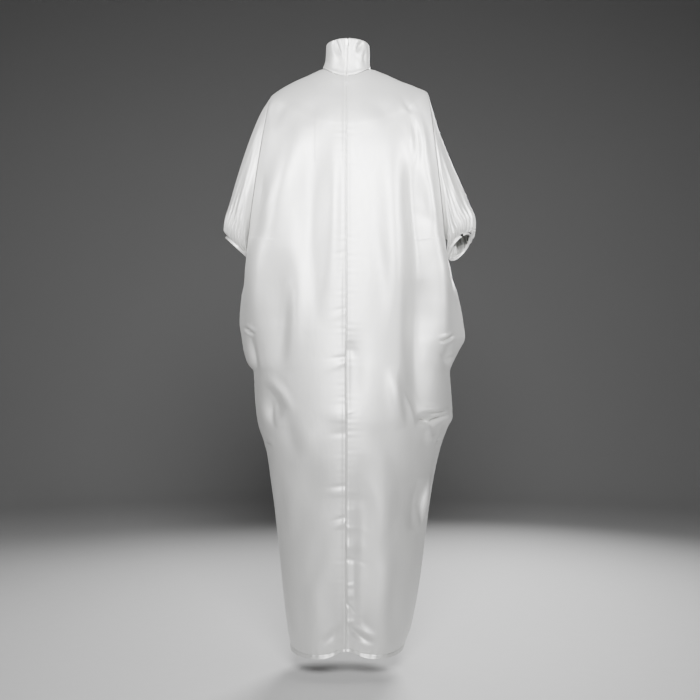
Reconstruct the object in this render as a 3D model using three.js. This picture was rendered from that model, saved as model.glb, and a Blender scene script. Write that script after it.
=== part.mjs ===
// A long batwing abaya in white satin, as it hangs on a wearer who isn't there.
// Millimetres. +Z is up, +Y is the wearer's front and +X the wearer's right;
// the origin is the middle of the neck, where the shoulders carry the garment.
import * as THREE from "three";

const { lerp, clamp, degToRad } = THREE.MathUtils;

// Driving sizes
const WALL = 1.6; // the cloth with its seam allowances
const SEAM = 0.3; // between two pieces at a seam
const NECK = { height: 14, radius: 59 };
const SHOULDER_TIP = -51; // height of the shoulder point
const UNDERARM = -405;
const HEM = -1427;

// Rows and columns of the grids
const SHOULDER_ROWS = 5;
const ARMHOLE_ROWS = 20; // down one side of an armhole, and half the points round a sleeve
const ARMHOLE_SPREAD = 0.6; // how much wider the steps are at the armhole's top and bottom
const COLUMNS = 9; // from the centre line to a side
const SIDE_CROWDING = 1.3; // how much closer the columns stand near the sides
const SLEEVE_ROWS = 11; // rings along a sleeve

// Colours
const SATIN = { color: 0xeeeeec, roughness: 0.42, metalness: 0 };
const TAPE = { color: 0xe6e6e4, roughness: 0.7, metalness: 0 };
const ENAMEL = { color: 0xf4f4f2, roughness: 0.3, metalness: 0.2 };
const BLACK = { color: 0x141414, roughness: 0.35, metalness: 0 };

function table(names, rows) {
  const columns = names.split(" ");
  return rows.map((row) =>
    Object.fromEntries(columns.map((name, i) => [name, row[i]])),
  );
}

// The body's section at each height of its side line: half widths to the left and the right, the
// half width that its middle follows, how far forward the side line lies, how far the centre hangs
// below it and stands off at the back and the front, how square the section is, and how far the
// side line is drawn in between back and front.
const BODY = table(
  "height left right core sideY backDrop backDepth frontDrop frontDepth square drawnIn",
  [
    [NECK.height, NECK.radius, NECK.radius, 59, 0, 29, NECK.radius, 44, NECK.radius, 2, 0],
    [-2, 94, 101, 98, 1, 48, 73, 64, 68, 2, 0],
    [-18, 134, 134, 132, 3, 64, 86, 80, 80, 2, 0],
    [-34, 167, 172, 169, 5, 78, 96, 94, 91, 2.1, 0],
    [-51, 190, 203, 197, 8, 88, 103, 104, 101, 2.2, 0],
    [-150, 205, 213, 209, 8, 62, 114, 72, 122, 2.5, 0],
    [-250, 220, 228, 224, 8, 40, 120, 44, 131, 2.6, 0],
    [-340, 238, 240, 239, 8, 28, 123, 30, 130, 2.6, 2],
    [-405, 252, 252, 252, 8, 22, 125, 23, 128, 2.6, 8],
    [-450, 261, 263, 253, 10, 19, 127, 20, 127, 2.5, 28],
    [-490, 268, 279, 252, 12, 17, 129, 18, 127, 2.4, 21],
    [-557, 269, 287, 250, 14, 14, 132, 16, 128, 2.2, 5],
    [-617, 269, 294, 247, 16, 12, 135, 14, 129, 2.1, 0],
    [-655, 264, 299, 245, 18, 11, 137, 13, 130, 2.1, 0],
    [-692, 258, 282, 242, 18, 10, 139, 12, 131, 2.1, 0],
    [-722, 248, 267, 239, 18, 9, 141, 11, 132, 2.1, 0],
    [-742, 232, 260, 236, 16, 9, 142, 10, 133, 2.1, 0],
    [-800, 229, 264, 229, 12, 7, 144, 8, 134, 2.1, 0],
    [-855, 224, 267, 222, 10, 6, 145, 7, 135, 2.1, 0],
    [-880, 219, 255, 217, 9, 5, 145, 6, 135, 2.1, 0],
    [-935, 199, 235, 206, 6, 5, 145, 5, 134, 2.1, 0],
    [-1022, 186, 216, 192, 4, 4, 142, 4, 133, 2.1, 0],
    [-1142, 171, 199, 177, 2, 3, 139, 3, 132, 2.1, 0],
    [-1262, 159, 184, 165, 0, 2, 137, 2, 133, 2.1, 0],
    [-1382, 144, 160, 150, 0, 1, 137, 1, 135, 2.1, 0],
    [HEM, 137, 141, 139, 0, 0, 138, 0, 136, 2.1, 0],
  ],
);

const GROOVE = 36; // half the width over which the side line is drawn in

// One shoulder stands a little higher than the other.
const TIP_RISE = { left: -6, right: 5, spread: 90 };

// Heights of the rows below the underarm
const LOWER_ROWS = [
  -420, -436, -454, -474, -496, -524, -557, -590, -620, -642, -662, -684, -706,
  -724, -740, -758, -790, -824, -850, -868, -892, -925, -965, -1010, -1060,
  -1112, -1170, -1230, -1290, -1345, -1390, -1417, -1427,
];

// Soft folds on the body, each a trough (depth below 0) or a ridge along a line on one face
const FOLDS = table("face x1 z1 x2 z2 width depth", [
  [-1, -100, -110, -155, -270, 34, 6],
  [-1, -160, -280, -190, -520, 34, 6],
  [-1, -96, -180, -118, -560, 26, -5],
  [-1, 150, -120, 168, -430, 30, -7],
  [-1, 170, -430, 196, -700, 34, -8],
  [-1, 214, -300, 250, -560, 24, 6],
  [-1, 120, -560, 170, -860, 40, -7],
  [-1, 205, -655, 285, -662, 14, -7],
  [-1, 190, -700, 262, -745, 18, 5],
  [-1, -228, -640, -218, -752, 12, -7],
  [-1, 175, -858, 258, -856, 14, -8],
  [-1, 120, -780, 190, -900, 30, -8],
  [-1, 205, -1010, 178, -1130, 15, 5],
  [-1, 184, -1010, 160, -1120, 15, -5],
  [-1, -214, -800, -176, -930, 24, -6],
  [-1, -120, -640, -60, -1040, 40, -5],
  [-1, -86, -1150, -86, -1427, 46, 6],
  [-1, 88, -1150, 88, -1427, 46, 6],
  [1, -90, -130, -120, -420, 34, 6],
  [1, 105, -150, 140, -460, 34, 6],
  [1, -40, -260, -90, -700, 34, -6],
  [1, 60, -300, 110, -760, 36, -6],
  [1, -250, -652, -150, -716, 20, -8],
  [1, 262, -662, 160, -730, 20, -8],
  [1, -205, -862, -110, -930, 22, -7],
  [1, 230, -868, 120, -945, 22, -7],
  [1, -75, -1040, -80, -1427, 44, 6],
  [1, 80, -1060, 76, -1427, 44, 6],
]);
const HEM_LIFT = { height: 20, halfWidth: 34, reach: 150 }; // the centre-back seam draws the hem up

// Sleeves, from the armhole (0) to the cuff (1): the outer and the inner end of each ring, its
// middle and half depth front to back, and how far it turns its opening to the back, in degrees
const SLEEVE_COLUMNS = "at outX outZ inX inZ midY halfDepth turn";
const SLEEVES = {
  left: table(SLEEVE_COLUMNS, [
    [0, 190.3, -57, 244.3, -405, 8, 65, 0],
    [0.12, 212, -92, 247, -411, 9, 67, 0],
    [0.25, 233, -140, 248, -417, 11, 69, 0],
    [0.4, 254, -197, 248, -424, 13, 70, 0],
    [0.55, 274, -257, 247, -431, 15, 70, 0],
    [0.7, 291, -317, 246, -437, 17, 67, 0],
    [0.84, 304, -364, 245, -443, 19, 62, 0],
    [0.93, 306, -388, 244, -447.5, 20, 54, 0],
    [1, 299.5, -401, 243.5, -452.5, 20, 45, 0],
  ]),
  right: table(SLEEVE_COLUMNS, [
    [0, 203.3, -46, 244.3, -405, 8, 65, 0],
    [0.12, 216, -90, 252, -411, 9, 67, 2],
    [0.25, 231, -137, 256, -418, 11, 69, 5],
    [0.4, 254, -195, 258, -425, 13, 70, 8],
    [0.55, 281, -257, 258, -432, 15, 70, 12],
    [0.7, 305, -315, 257, -439, 16, 67, 16],
    [0.84, 322, -362, 256, -446, 16, 62, 19],
    [0.93, 320, -386, 255, -451, 15, 54, 21],
    [1, 307, -396, 254, -456, 15, 45, 22],
  ]),
};
const GATHERS = { from: 0.38, height: 3 }; // where they start up the sleeve, and half their height
const GATHER_SIZES = [1, 0.65, 1.25, 0.8, 1.1]; // no two neighbours alike
const PULLS = table("side angle from to width depth", [
  ["left", -62, 0.2, 0.9, 13, -4],
  ["left", -100, 0.35, 0.95, 15, -5],
  ["left", 70, 0.25, 0.9, 14, -4],
  ["right", -38, 0.25, 0.95, 10, -4],
  ["right", -66, 0.2, 0.9, 12, -4],
  ["right", -104, 0.3, 0.95, 16, -5],
  ["right", 75, 0.25, 0.9, 14, -4],
]);

const CUFF = { width: 7, thickness: 2.6, segments: 36 };
const BUTTON = { radius: 3.3, height: 2.8, bevel: 0.9, lower: 0.8 };
// Round the cuff from its outer end, above zero towards the front.
const BUTTON_ANGLES = { left: [42, 112], right: [-9, -60] };

// The collar from the neck seam (0) to its top edge (1)
const COLLAR = table("at halfWidth halfDepth shift", [
  [0, NECK.radius, NECK.radius, 0],
  [0.16, 56.5, 56, 1],
  [0.36, 54.5, 55, 2],
  [0.7, 54, 54.5, 3],
  [1, 53, 54, 3],
]);
const COLLAR_TOP = { back: 78, front: 66 };
const COLLAR_ROWS = [0, 0.1, 0.22, 0.4, 0.6, 0.8, 0.94, 1];
const COLLAR_WALL = 2;
const COLLAR_DENTS = table("x1 z1 x2 z2 width depth", [
  [-30, 84, -14, 38, 8, -2.4],
  [40, 78, 26, 40, 9, -2.4],
]);
const SLIT = 0.6; // half the gap between the collar's two edges, where the zip shows

const ZIP = { halfWidth: 4, thickness: 1.2, clearance: 0.6, end: -355 };
const SLIDER = { x: 0.7, z: 70, width: 7.4, height: 9, thickness: 1.4, ear: 1.1 };
const PULL = { length: 14, halfWidth: 2.7, thickness: 1.1, barrel: 1.1, play: 0.3 };

// A smooth line through one column of a table, read against its first column.
function along(rows, name, at) {
  const key = Object.keys(rows[0])[0];
  const sign = Math.sign(rows[rows.length - 1][key] - rows[0][key]);
  const last = rows.length - 1;
  let i = 0;
  while (i < last - 1 && sign * (at - rows[i + 1][key]) > 0) i += 1;
  const span = (j) => rows[j + 1][key] - rows[j][key];
  const secant = (j) => (rows[j + 1][name] - rows[j][name]) / span(j);
  const slope = (j) => {
    if (j === 0) return secant(0);
    if (j === last) return secant(last - 1);
    const before = secant(j - 1);
    const after = secant(j);
    return before * after <= 0 ? 0 : (2 * before * after) / (before + after);
  };
  const t = clamp((at - rows[i][key]) / span(i), 0, 1);
  const t2 = t * t;
  const t3 = t2 * t;
  return (
    (2 * t3 - 3 * t2 + 1) * rows[i][name] +
    (t3 - 2 * t2 + t) * slope(i) * span(i) +
    (3 * t2 - 2 * t3) * rows[i + 1][name] +
    (t3 - t2) * slope(i + 1) * span(i)
  );
}

const bell = (distance, width) => Math.exp(-((distance / width) ** 2));
const sideName = (side) => (side < 0 ? "left" : "right");

// How far (x, z) lies from a line, and how near its middle: 1 there, falling to 0 at its ends.
function creaseAt(fold, x, z) {
  const dx = fold.x2 - fold.x1;
  const dz = fold.z2 - fold.z1;
  const length2 = dx * dx + dz * dz;
  const t = ((x - fold.x1) * dx + (z - fold.z1) * dz) / length2;
  const away = ((x - fold.x1) * dz - (z - fold.z1) * dx) / Math.sqrt(length2);
  const strength = Math.sqrt(Math.max(0, Math.sin(Math.PI * clamp(t, 0, 1))));
  return fold.depth * strength * bell(away, fold.width);
}

// Sleeves --------------------------------------------------------------------------------------

// The flat ring that a sleeve follows at "at": its middle, its long half axis and its front one.
function sleeveRing(side, at) {
  const rows = SLEEVES[sideName(side)];
  const out = new THREE.Vector3(along(rows, "outX", at), 0, along(rows, "outZ", at));
  const inner = new THREE.Vector3(along(rows, "inX", at), 0, along(rows, "inZ", at));
  const middle = out.clone().add(inner).multiplyScalar(0.5);
  middle.y = along(rows, "midY", at);
  const long = out.clone().sub(inner).multiplyScalar(0.5);
  const unit = long.clone().normalize();
  const opening = new THREE.Vector3(unit.z, 0, -unit.x); // the way down the sleeve
  const turn = degToRad(along(rows, "turn", at));
  const front = new THREE.Vector3(0, Math.cos(turn), 0)
    .addScaledVector(opening, Math.sin(turn))
    .multiplyScalar(along(rows, "halfDepth", at));
  return { middle, long, front, opening };
}

// A point on a ring, from its outer end (0) by the front (90) or the back (-90) to its inner end.
function ringPoint(side, ring, angle, outward = 0) {
  const a = degToRad(angle);
  const radial = ring.long
    .clone()
    .multiplyScalar(Math.cos(a) / ring.long.lengthSq())
    .addScaledVector(ring.front, Math.sin(a) / ring.front.lengthSq())
    .normalize();
  const point = ring.middle
    .clone()
    .addScaledVector(ring.long, Math.cos(a))
    .addScaledVector(ring.front, Math.sin(a))
    .addScaledVector(radial, outward);
  point.x *= side;
  return point;
}

// The angle of the k-th point down one side of a ring: even at the cuff, spread at the armhole.
function stepAngle(k, at) {
  const s = k / ARMHOLE_ROWS;
  const spread = ARMHOLE_SPREAD * (1 - at);
  return 180 * (s + (spread * Math.sin(2 * Math.PI * s)) / (2 * Math.PI));
}

// The armhole seam, which the panels and the sleeve share.
function armholePoint(side, face, angle) {
  const point = ringPoint(side, sleeveRing(side, 0), face * angle);
  point.x -= side * SEAM;
  return point;
}

function pullAt(side, at, angle) {
  return PULLS.filter((pull) => pull.side === sideName(side)).reduce((sum, pull) => {
    const t = clamp((at - pull.from) / (pull.to - pull.from), 0, 1);
    return sum + pull.depth * Math.sin(Math.PI * t) * bell(angle - pull.angle, pull.width);
  }, 0);
}

// The back (face -1) or front half of a sleeve, from its outer seam to its inner one.
function sleeveSolid(side, face) {
  const outer = [];
  const inner = [];
  for (let row = 0; row <= SLEEVE_ROWS; row += 1) {
    const at = row / SLEEVE_ROWS;
    const ring = sleeveRing(side, at);
    const fade = clamp((at - GATHERS.from) / (1 - GATHERS.from), 0, 1) ** 1.5;
    const before = sleeveRing(side, Math.max(0, at - 0.01));
    const after = sleeveRing(side, Math.min(1, at + 0.01));
    const fromSeam = ring.front.clone().setLength((face * SEAM) / 2);
    fromSeam.x *= side;
    const outerRow = [];
    const innerRow = [];
    for (let k = 0; k <= ARMHOLE_ROWS; k += 1) {
      const angle = face * stepAngle(k, at);
      const size = GATHER_SIZES[((ARMHOLE_ROWS + face * k) >> 1) % GATHER_SIZES.length];
      const gather = (k % 2 ? -1 : 1) * size * GATHERS.height * fade;
      const lift = gather + pullAt(side, at, angle);
      const point = ringPoint(side, ring, angle, lift);
      const smooth = ringPoint(side, ring, angle);
      const inPlane = ringPoint(side, ring, angle, 1).sub(smooth);
      let normal = inPlane;
      if (row > 0 && row < SLEEVE_ROWS) {
        const down = ringPoint(side, after, angle).sub(ringPoint(side, before, angle));
        const round = ringPoint(side, ring, angle + 1).sub(ringPoint(side, ring, angle - 1));
        normal = down.cross(round).normalize();
        if (normal.dot(inPlane) < 0) normal.negate();
      }
      if (k === 0 || k === ARMHOLE_ROWS) point.add(fromSeam);
      outerRow.push(point);
      innerRow.push(point.clone().addScaledVector(normal, -WALL));
    }
    outer.push(outerRow);
    inner.push(innerRow);
  }
  return wall(outer, inner, false);
}

// Body -----------------------------------------------------------------------------------------

// Grid rows of the body: through the shoulder, down the armhole and on to the hem.
function bodyRows() {
  const rows = [];
  for (let i = 0; i < SHOULDER_ROWS; i += 1)
    rows.push({ height: lerp(NECK.height, SHOULDER_TIP, i / SHOULDER_ROWS) });
  for (let i = 0; i <= ARMHOLE_ROWS; i += 1) {
    const angle = stepAngle(i, 0);
    const fall = (1 - Math.cos(degToRad(angle))) / 2;
    rows.push({ height: lerp(SHOULDER_TIP, UNDERARM, fall), angle });
  }
  return rows.concat(LOWER_ROWS.map((height) => ({ height })));
}

// The side line or armhole edge at a row.
function bodyEdge(side, face, row) {
  if (row.angle > 0 && row.angle < 180) return armholePoint(side, face, row.angle);
  const name = sideName(side);
  const rise = TIP_RISE[name] * bell(row.height - SHOULDER_TIP, TIP_RISE.spread / 3);
  const x = side * along(BODY, name, row.height);
  const y = along(BODY, "sideY", row.height) + (face * SEAM) / 2;
  if (row.angle !== undefined) return armholePoint(side, face, row.angle).setY(y);
  return new THREE.Vector3(x, y, row.height + rise);
}

// A point of the front (face 1) or back (face -1), from the centre line (u = 0) to a side (-1, 1).
function bodyPoint(face, u, row) {
  const side = u < 0 ? -1 : 1;
  const reach = Math.abs(u);
  const h = row.height;
  const edge = bodyEdge(side, face, row);
  const middleY = along(BODY, "sideY", h);
  const name = face < 0 ? "back" : "front";
  const depth = along(BODY, name + "Depth", h) + (face < 0 ? middleY : -middleY);
  const centreZ = h - along(BODY, name + "Drop", h);
  const power = along(BODY, "square", h);
  const edgeY = Math.abs(edge.y - middleY);
  const drawnIn = (y) => along(BODY, "drawnIn", h) * bell(y, GROOVE);
  const full = Math.abs(edge.x) + (row.angle ? drawnIn(edgeY) : 0);
  const bulge = h < UNDERARM ? full - along(BODY, "core", h) : 0; // near the side line alone
  const edgeX = full - bulge;
  const halfWidth = edgeX / (1 - (edgeY / depth) ** power) ** (1 / power);
  const turn = Math.atan2(edgeX, edgeY) * reach;
  const round = (Math.sin(turn) / halfWidth) ** power + (Math.cos(turn) / depth) ** power;
  const radius = round ** (-1 / power);
  const offCentre = radius * Math.cos(turn);
  const rise = (depth ** 2 - offCentre ** 2) / (depth ** 2 - edgeY ** 2);
  const point = new THREE.Vector3(
    side * radius * Math.sin(turn),
    middleY + face * offCentre,
    lerp(centreZ, edge.z, rise),
  );
  point.x += side * (bulge * reach ** 5 - drawnIn(offCentre));
  if (face < 0) {
    const low = clamp((HEM + HEM_LIFT.reach - h) / HEM_LIFT.reach, 0, 1);
    point.z += HEM_LIFT.height * low * low * bell(point.x, HEM_LIFT.halfWidth);
  }
  return point;
}

function between(rows, index) {
  const i = clamp(Math.floor(index), 0, rows.length - 2);
  const t = index - i;
  const angleOf = (row) => row.angle ?? (row.height > SHOULDER_TIP ? 0 : 180);
  const mixed = { height: lerp(rows[i].height, rows[i + 1].height, t) };
  const angle = lerp(angleOf(rows[i]), angleOf(rows[i + 1]), t);
  return angle > 0 && angle < 180 ? { ...mixed, angle } : mixed;
}

function bodyNormal(face, u, rows, index) {
  const step = 0.02;
  const at = clamp(u, -0.97, 0.97);
  const row = clamp(index, 0.3, rows.length - 1.3);
  const up = bodyPoint(face, at, between(rows, row - 0.3));
  const down = bodyPoint(face, at, between(rows, row + 0.3));
  const left = bodyPoint(face, at - step, between(rows, row));
  const right = bodyPoint(face, at + step, between(rows, row));
  const normal = up.sub(down).cross(right.sub(left)).normalize();
  if (face < 0) normal.negate();
  if (u === 0) normal.setX(0).normalize();
  if (Math.abs(u) === 1 && !(rows[index].angle > 0 && rows[index].angle < 180))
    normal.setY(0).normalize();
  return normal;
}

// The grid columns from u = 0 out to a side, evenly numbered and crowded towards the side.
const columnAt = (part) => Math.sign(part) * (1 - (1 - Math.abs(part)) ** SIDE_CROWDING);

// A cloth panel between two values of u; an edge on the centre line is trimmed for its seam.
function panelSolid(face, uFrom, uTo, trim) {
  const columns = (uTo - uFrom) * COLUMNS;
  const rows = bodyRows();
  const outer = [];
  const inner = [];
  rows.forEach((row, index) => {
    const outerRow = [];
    const innerRow = [];
    for (let j = 0; j <= columns; j += 1) {
      const u = columnAt(lerp(uFrom, uTo, j / columns));
      const point = bodyPoint(face, u, row);
      const normal = bodyNormal(face, u, rows, index);
      const calm = 1 - Math.abs(u) ** 6;
      const folds = FOLDS.filter((fold) => fold.face === face);
      const lift = folds.reduce((sum, fold) => sum + creaseAt(fold, point.x, point.z), 0);
      point.addScaledVector(normal, lift * calm * clamp(index / 4, 0, 1));
      if (u === 0) point.x += (trim * SEAM) / 2;
      outerRow.push(point);
      innerRow.push(point.clone().addScaledVector(normal, -WALL));
    }
    outer.push(outerRow);
    inner.push(innerRow);
  });
  return { outer, inner, geometry: wall(outer, inner, false) };
}

// Walls ----------------------------------------------------------------------------------------

// A closed wall between two grids of points, open at its ends, and round if each row is a ring.
function wall(outer, inner, ring) {
  const rows = outer.length;
  const columns = outer[0].length;
  const points = [...outer.flat(), ...inner.flat()];
  const out = (r, c) => r * columns + (c % columns);
  const inn = (r, c) => rows * columns + out(r, c);
  const faces = [];
  const apart = (a, b) => points[a].distanceTo(points[b]);
  const quad = (a, b, c, d) => {
    if (apart(a, c) <= apart(b, d)) faces.push(a, b, c, a, c, d);
    else faces.push(b, c, d, b, d, a);
  };
  const span = ring ? columns : columns - 1;
  for (let r = 0; r < rows - 1; r += 1)
    for (let c = 0; c < span; c += 1) {
      quad(out(r, c), out(r + 1, c), out(r + 1, c + 1), out(r, c + 1));
      quad(inn(r, c), inn(r, c + 1), inn(r + 1, c + 1), inn(r + 1, c));
    }
  for (let c = 0; c < span; c += 1) {
    quad(out(0, c), out(0, c + 1), inn(0, c + 1), inn(0, c));
    quad(out(rows - 1, c), inn(rows - 1, c), inn(rows - 1, c + 1), out(rows - 1, c + 1));
  }
  if (!ring)
    for (let r = 0; r < rows - 1; r += 1) {
      quad(out(r, 0), inn(r, 0), inn(r + 1, 0), out(r + 1, 0));
      const c = columns - 1;
      quad(out(r, c), out(r + 1, c), inn(r + 1, c), inn(r, c));
    }
  return facingOut(points, faces);
}

// Turns a closed surface's faces outwards.
function facingOut(points, faces) {
  let volume = 0;
  for (let i = 0; i < faces.length; i += 3) {
    const [a, b, c] = [points[faces[i]], points[faces[i + 1]], points[faces[i + 2]]];
    volume += a.dot(b.clone().cross(c));
  }
  if (volume < 0)
    for (let i = 0; i < faces.length; i += 3)
      [faces[i + 1], faces[i + 2]] = [faces[i + 2], faces[i + 1]];
  const geometry = new THREE.BufferGeometry().setFromPoints(points);
  geometry.setIndex(faces);
  geometry.computeVertexNormals();
  return geometry;
}

// Cuffs and buttons ----------------------------------------------------------------------------

// A ring of the cuff band, "down" past the end of the sleeve.
function cuffRing(side, down) {
  const ring = sleeveRing(side, 1);
  const axis = ring.long.clone().cross(ring.front).normalize();
  if (axis.dot(ring.opening) < 0) axis.negate();
  ring.middle.addScaledVector(axis, down);
  return { ...ring, axis };
}

function cuffSolid(side) {
  const outer = [];
  const inner = [];
  const profile = [
    { down: SEAM, out: 0.4 },
    { down: SEAM + 1, out: 1 },
    { down: CUFF.width - 1, out: 1 },
    { down: CUFF.width, out: 0.4 },
  ];
  for (const { down, out } of profile) {
    const ring = cuffRing(side, down);
    const angles = Array.from({ length: CUFF.segments }, (_, j) => (360 * j) / CUFF.segments);
    outer.push(angles.map((angle) => ringPoint(side, ring, angle, out)));
    inner.push(angles.map((angle) => ringPoint(side, ring, angle, out - CUFF.thickness)));
  }
  return wall(outer, inner, true);
}

function buttonMesh(side, angle, name) {
  const profile = [
    new THREE.Vector2(0, 0),
    new THREE.Vector2(BUTTON.radius - BUTTON.bevel, 0),
    new THREE.Vector2(BUTTON.radius, BUTTON.bevel),
    new THREE.Vector2(BUTTON.radius - BUTTON.bevel / 2, BUTTON.height - BUTTON.bevel / 2),
    new THREE.Vector2(BUTTON.radius / 2, BUTTON.height),
    new THREE.Vector2(0, BUTTON.height),
  ];
  const ring = cuffRing(side, CUFF.width / 2 + BUTTON.lower);
  const seat = ringPoint(side, ring, angle, 1 + SEAM);
  const outward = ringPoint(side, ring, angle, 2 + SEAM).sub(seat);
  const button = mesh(name, new THREE.LatheGeometry(profile, 14), BLACK);
  button.quaternion.setFromUnitVectors(new THREE.Vector3(0, 1, 0), outward);
  button.position.copy(seat);
  return button;
}

// Collar ---------------------------------------------------------------------------------------

function collarPoint(at, angle, inward = 0) {
  const a = degToRad(angle); // from the centre back, by the right side and the front
  const back = Math.cos(a);
  const seam = bodyPoint(back > 0 ? -1 : 1, 0, { height: NECK.height });
  const top = lerp(COLLAR_TOP.front, COLLAR_TOP.back, (1 + back) / 2);
  const seamZ = lerp(seam.z, NECK.height, Math.sin(a) ** 2) + SEAM; // as the panels' neck edge
  const x = (along(COLLAR, "halfWidth", at) - inward) * Math.sin(a);
  const y = -(along(COLLAR, "halfDepth", at) - inward) * Math.cos(a);
  const point = new THREE.Vector3(x + along(COLLAR, "shift", at), y, lerp(seamZ, top, at));
  if (back > 0) {
    const dent = COLLAR_DENTS.reduce((sum, d) => sum + creaseAt(d, point.x, point.z), 0);
    point.x += dent * Math.sin(a);
    point.y -= dent * Math.cos(a);
  }
  return point;
}

function collarSolid() {
  const outer = [];
  const inner = [];
  for (const at of COLLAR_ROWS) {
    const start = THREE.MathUtils.radToDeg(SLIT / along(COLLAR, "halfWidth", at));
    const quarter = Array.from({ length: COLUMNS }, (_, j) => 90 * columnAt((j + 1) / COLUMNS));
    const back = [start, ...quarter];
    const front = quarter.slice(0, -1).map((angle) => 180 - angle);
    const half = [...back, ...front.reverse()];
    const angles = [...half, 180, ...half.map((angle) => 360 - angle).reverse()];
    outer.push(angles.map((angle) => collarPoint(at, angle)));
    inner.push(angles.map((angle) => collarPoint(at, angle, COLLAR_WALL)));
  }
  return wall(outer, inner, false);
}

// Zip ------------------------------------------------------------------------------------------

// The zip's chain hangs just inside the slit, down the collar and on behind the centre-back seam.
function zipSolid(back) {
  const line = COLLAR_ROWS.slice()
    .reverse()
    .map((at) => {
      const point = collarPoint(at, 0, COLLAR_WALL);
      return at === 1 ? point.setZ(point.z - 1) : point;
    });
  back.inner.forEach((row, index) => {
    const point = row[0].clone();
    if (index > 0 && point.z > ZIP.end) line.push(point.setX(0));
  });
  const behind = (point, depth, x) =>
    new THREE.Vector3(point.x + x, point.y + ZIP.clearance + depth, point.z);
  const outer = line.map((p) => [-1, 1].map((s) => behind(p, 0, s * ZIP.halfWidth)));
  const inner = line.map((p) => [-1, 1].map((s) => behind(p, ZIP.thickness, s * ZIP.halfWidth)));
  return wall(outer, inner, false);
}

// The collar's outer surface at the slider, where the slider lies.
function sliderSeat() {
  const at = (SLIDER.z - COLLAR_TOP.back) / (COLLAR_TOP.back + 15) + 1;
  return collarPoint(at, 0).y - SEAM;
}

// A plate on the collar with two ears that hold the tab's barrel.
function sliderSolid() {
  const half = SLIDER.width / 2;
  const top = SLIDER.height / 2;
  const ear = 2 * PULL.barrel + 1.2;
  const shape = new THREE.Shape(); // seen from above: a U, open to the back
  const floor = SLIDER.thickness;
  shape.moveTo(-half, 0).lineTo(half, 0).lineTo(half, -floor - ear);
  shape.lineTo(half - SLIDER.ear, -floor - ear).lineTo(half - SLIDER.ear, -floor);
  shape.lineTo(-half + SLIDER.ear, -floor).lineTo(-half + SLIDER.ear, -floor - ear);
  shape.lineTo(-half, -floor - ear).closePath();
  const geometry = new THREE.ExtrudeGeometry(shape, { depth: 2 * top, bevelEnabled: false });
  geometry.translate(SLIDER.x, sliderSeat(), SLIDER.z - top);
  return geometry;
}

// A flat drop with a round barrel across its top, hanging straight down.
function pullSolid() {
  const play = PULL.play;
  const barrelHalf = SLIDER.width / 2 - SLIDER.ear - play;
  const outline = new THREE.Shape();
  const neck = 1.5;
  outline.moveTo(neck, 0).lineTo(PULL.halfWidth, -PULL.length * 0.6);
  outline.quadraticCurveTo(PULL.halfWidth, -PULL.length, 0, -PULL.length);
  outline.quadraticCurveTo(-PULL.halfWidth, -PULL.length, -PULL.halfWidth, -PULL.length * 0.6);
  outline.lineTo(-neck, 0).lineTo(-barrelHalf, 0);
  const round = Array.from({ length: 5 }, (_, i) => (i * Math.PI) / 4);
  round.reverse().forEach((a) =>
    outline.lineTo(barrelHalf * Math.cos(a), PULL.barrel * Math.sin(a)),
  );
  outline.lineTo(barrelHalf, 0).closePath();
  const geometry = new THREE.ExtrudeGeometry(outline, {
    depth: PULL.thickness,
    bevelEnabled: false,
    curveSegments: 5,
  });
  geometry.rotateX(Math.PI / 2).translate(0, PULL.thickness / 2, 0);
  return geometry;
}

// The part -------------------------------------------------------------------------------------

function mesh(name, geometry, finish) {
  const made = new THREE.Mesh(geometry, new THREE.MeshStandardMaterial(finish));
  made.name = name;
  return made;
}

const abaya = new THREE.Group();
const backLeft = panelSolid(-1, -1, 0, -1);
const backRight = panelSolid(-1, 0, 1, 1);
abaya.add(mesh("back_left", backLeft.geometry, SATIN));
abaya.add(mesh("back_right", backRight.geometry, SATIN));
abaya.add(mesh("front", panelSolid(1, -1, 1, 0).geometry, SATIN));
for (const side of [-1, 1]) {
  const name = sideName(side);
  abaya.add(mesh(`sleeve_${name}_back`, sleeveSolid(side, -1), SATIN));
  abaya.add(mesh(`sleeve_${name}_front`, sleeveSolid(side, 1), SATIN));
  abaya.add(mesh("cuff_" + name, cuffSolid(side), SATIN));
  BUTTON_ANGLES[name].forEach((angle, i) =>
    abaya.add(buttonMesh(side, angle, `button_${name}_${i + 1}`)),
  );
}
abaya.add(mesh("collar", collarSolid(), SATIN));
abaya.add(mesh("zip", zipSolid(backRight), TAPE));
abaya.add(mesh("zip_slider", sliderSolid(), ENAMEL));
const pull = mesh("zip_pull", pullSolid(), ENAMEL);
pull.position.set(
  SLIDER.x,
  sliderSeat() - SLIDER.thickness - PULL.play - PULL.barrel,
  SLIDER.z + SLIDER.height / 2 - PULL.barrel - 0.4,
);
abaya.add(pull);

export default abaya;
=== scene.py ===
# %% [markdown]
# # A long white satin abaya with batwing sleeves
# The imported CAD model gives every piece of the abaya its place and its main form. This lesson
# dresses it: each piece of cloth is rebuilt as a thin smooth shell on the same form, with its
# seams, gathers and creases, and then it gets a satin finish, a floor, lights and a camera.
# All lengths are millimetres until a mesh is made. +Z is up, +Y is the wearer's front.

# %% Load the frame
import math

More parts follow.
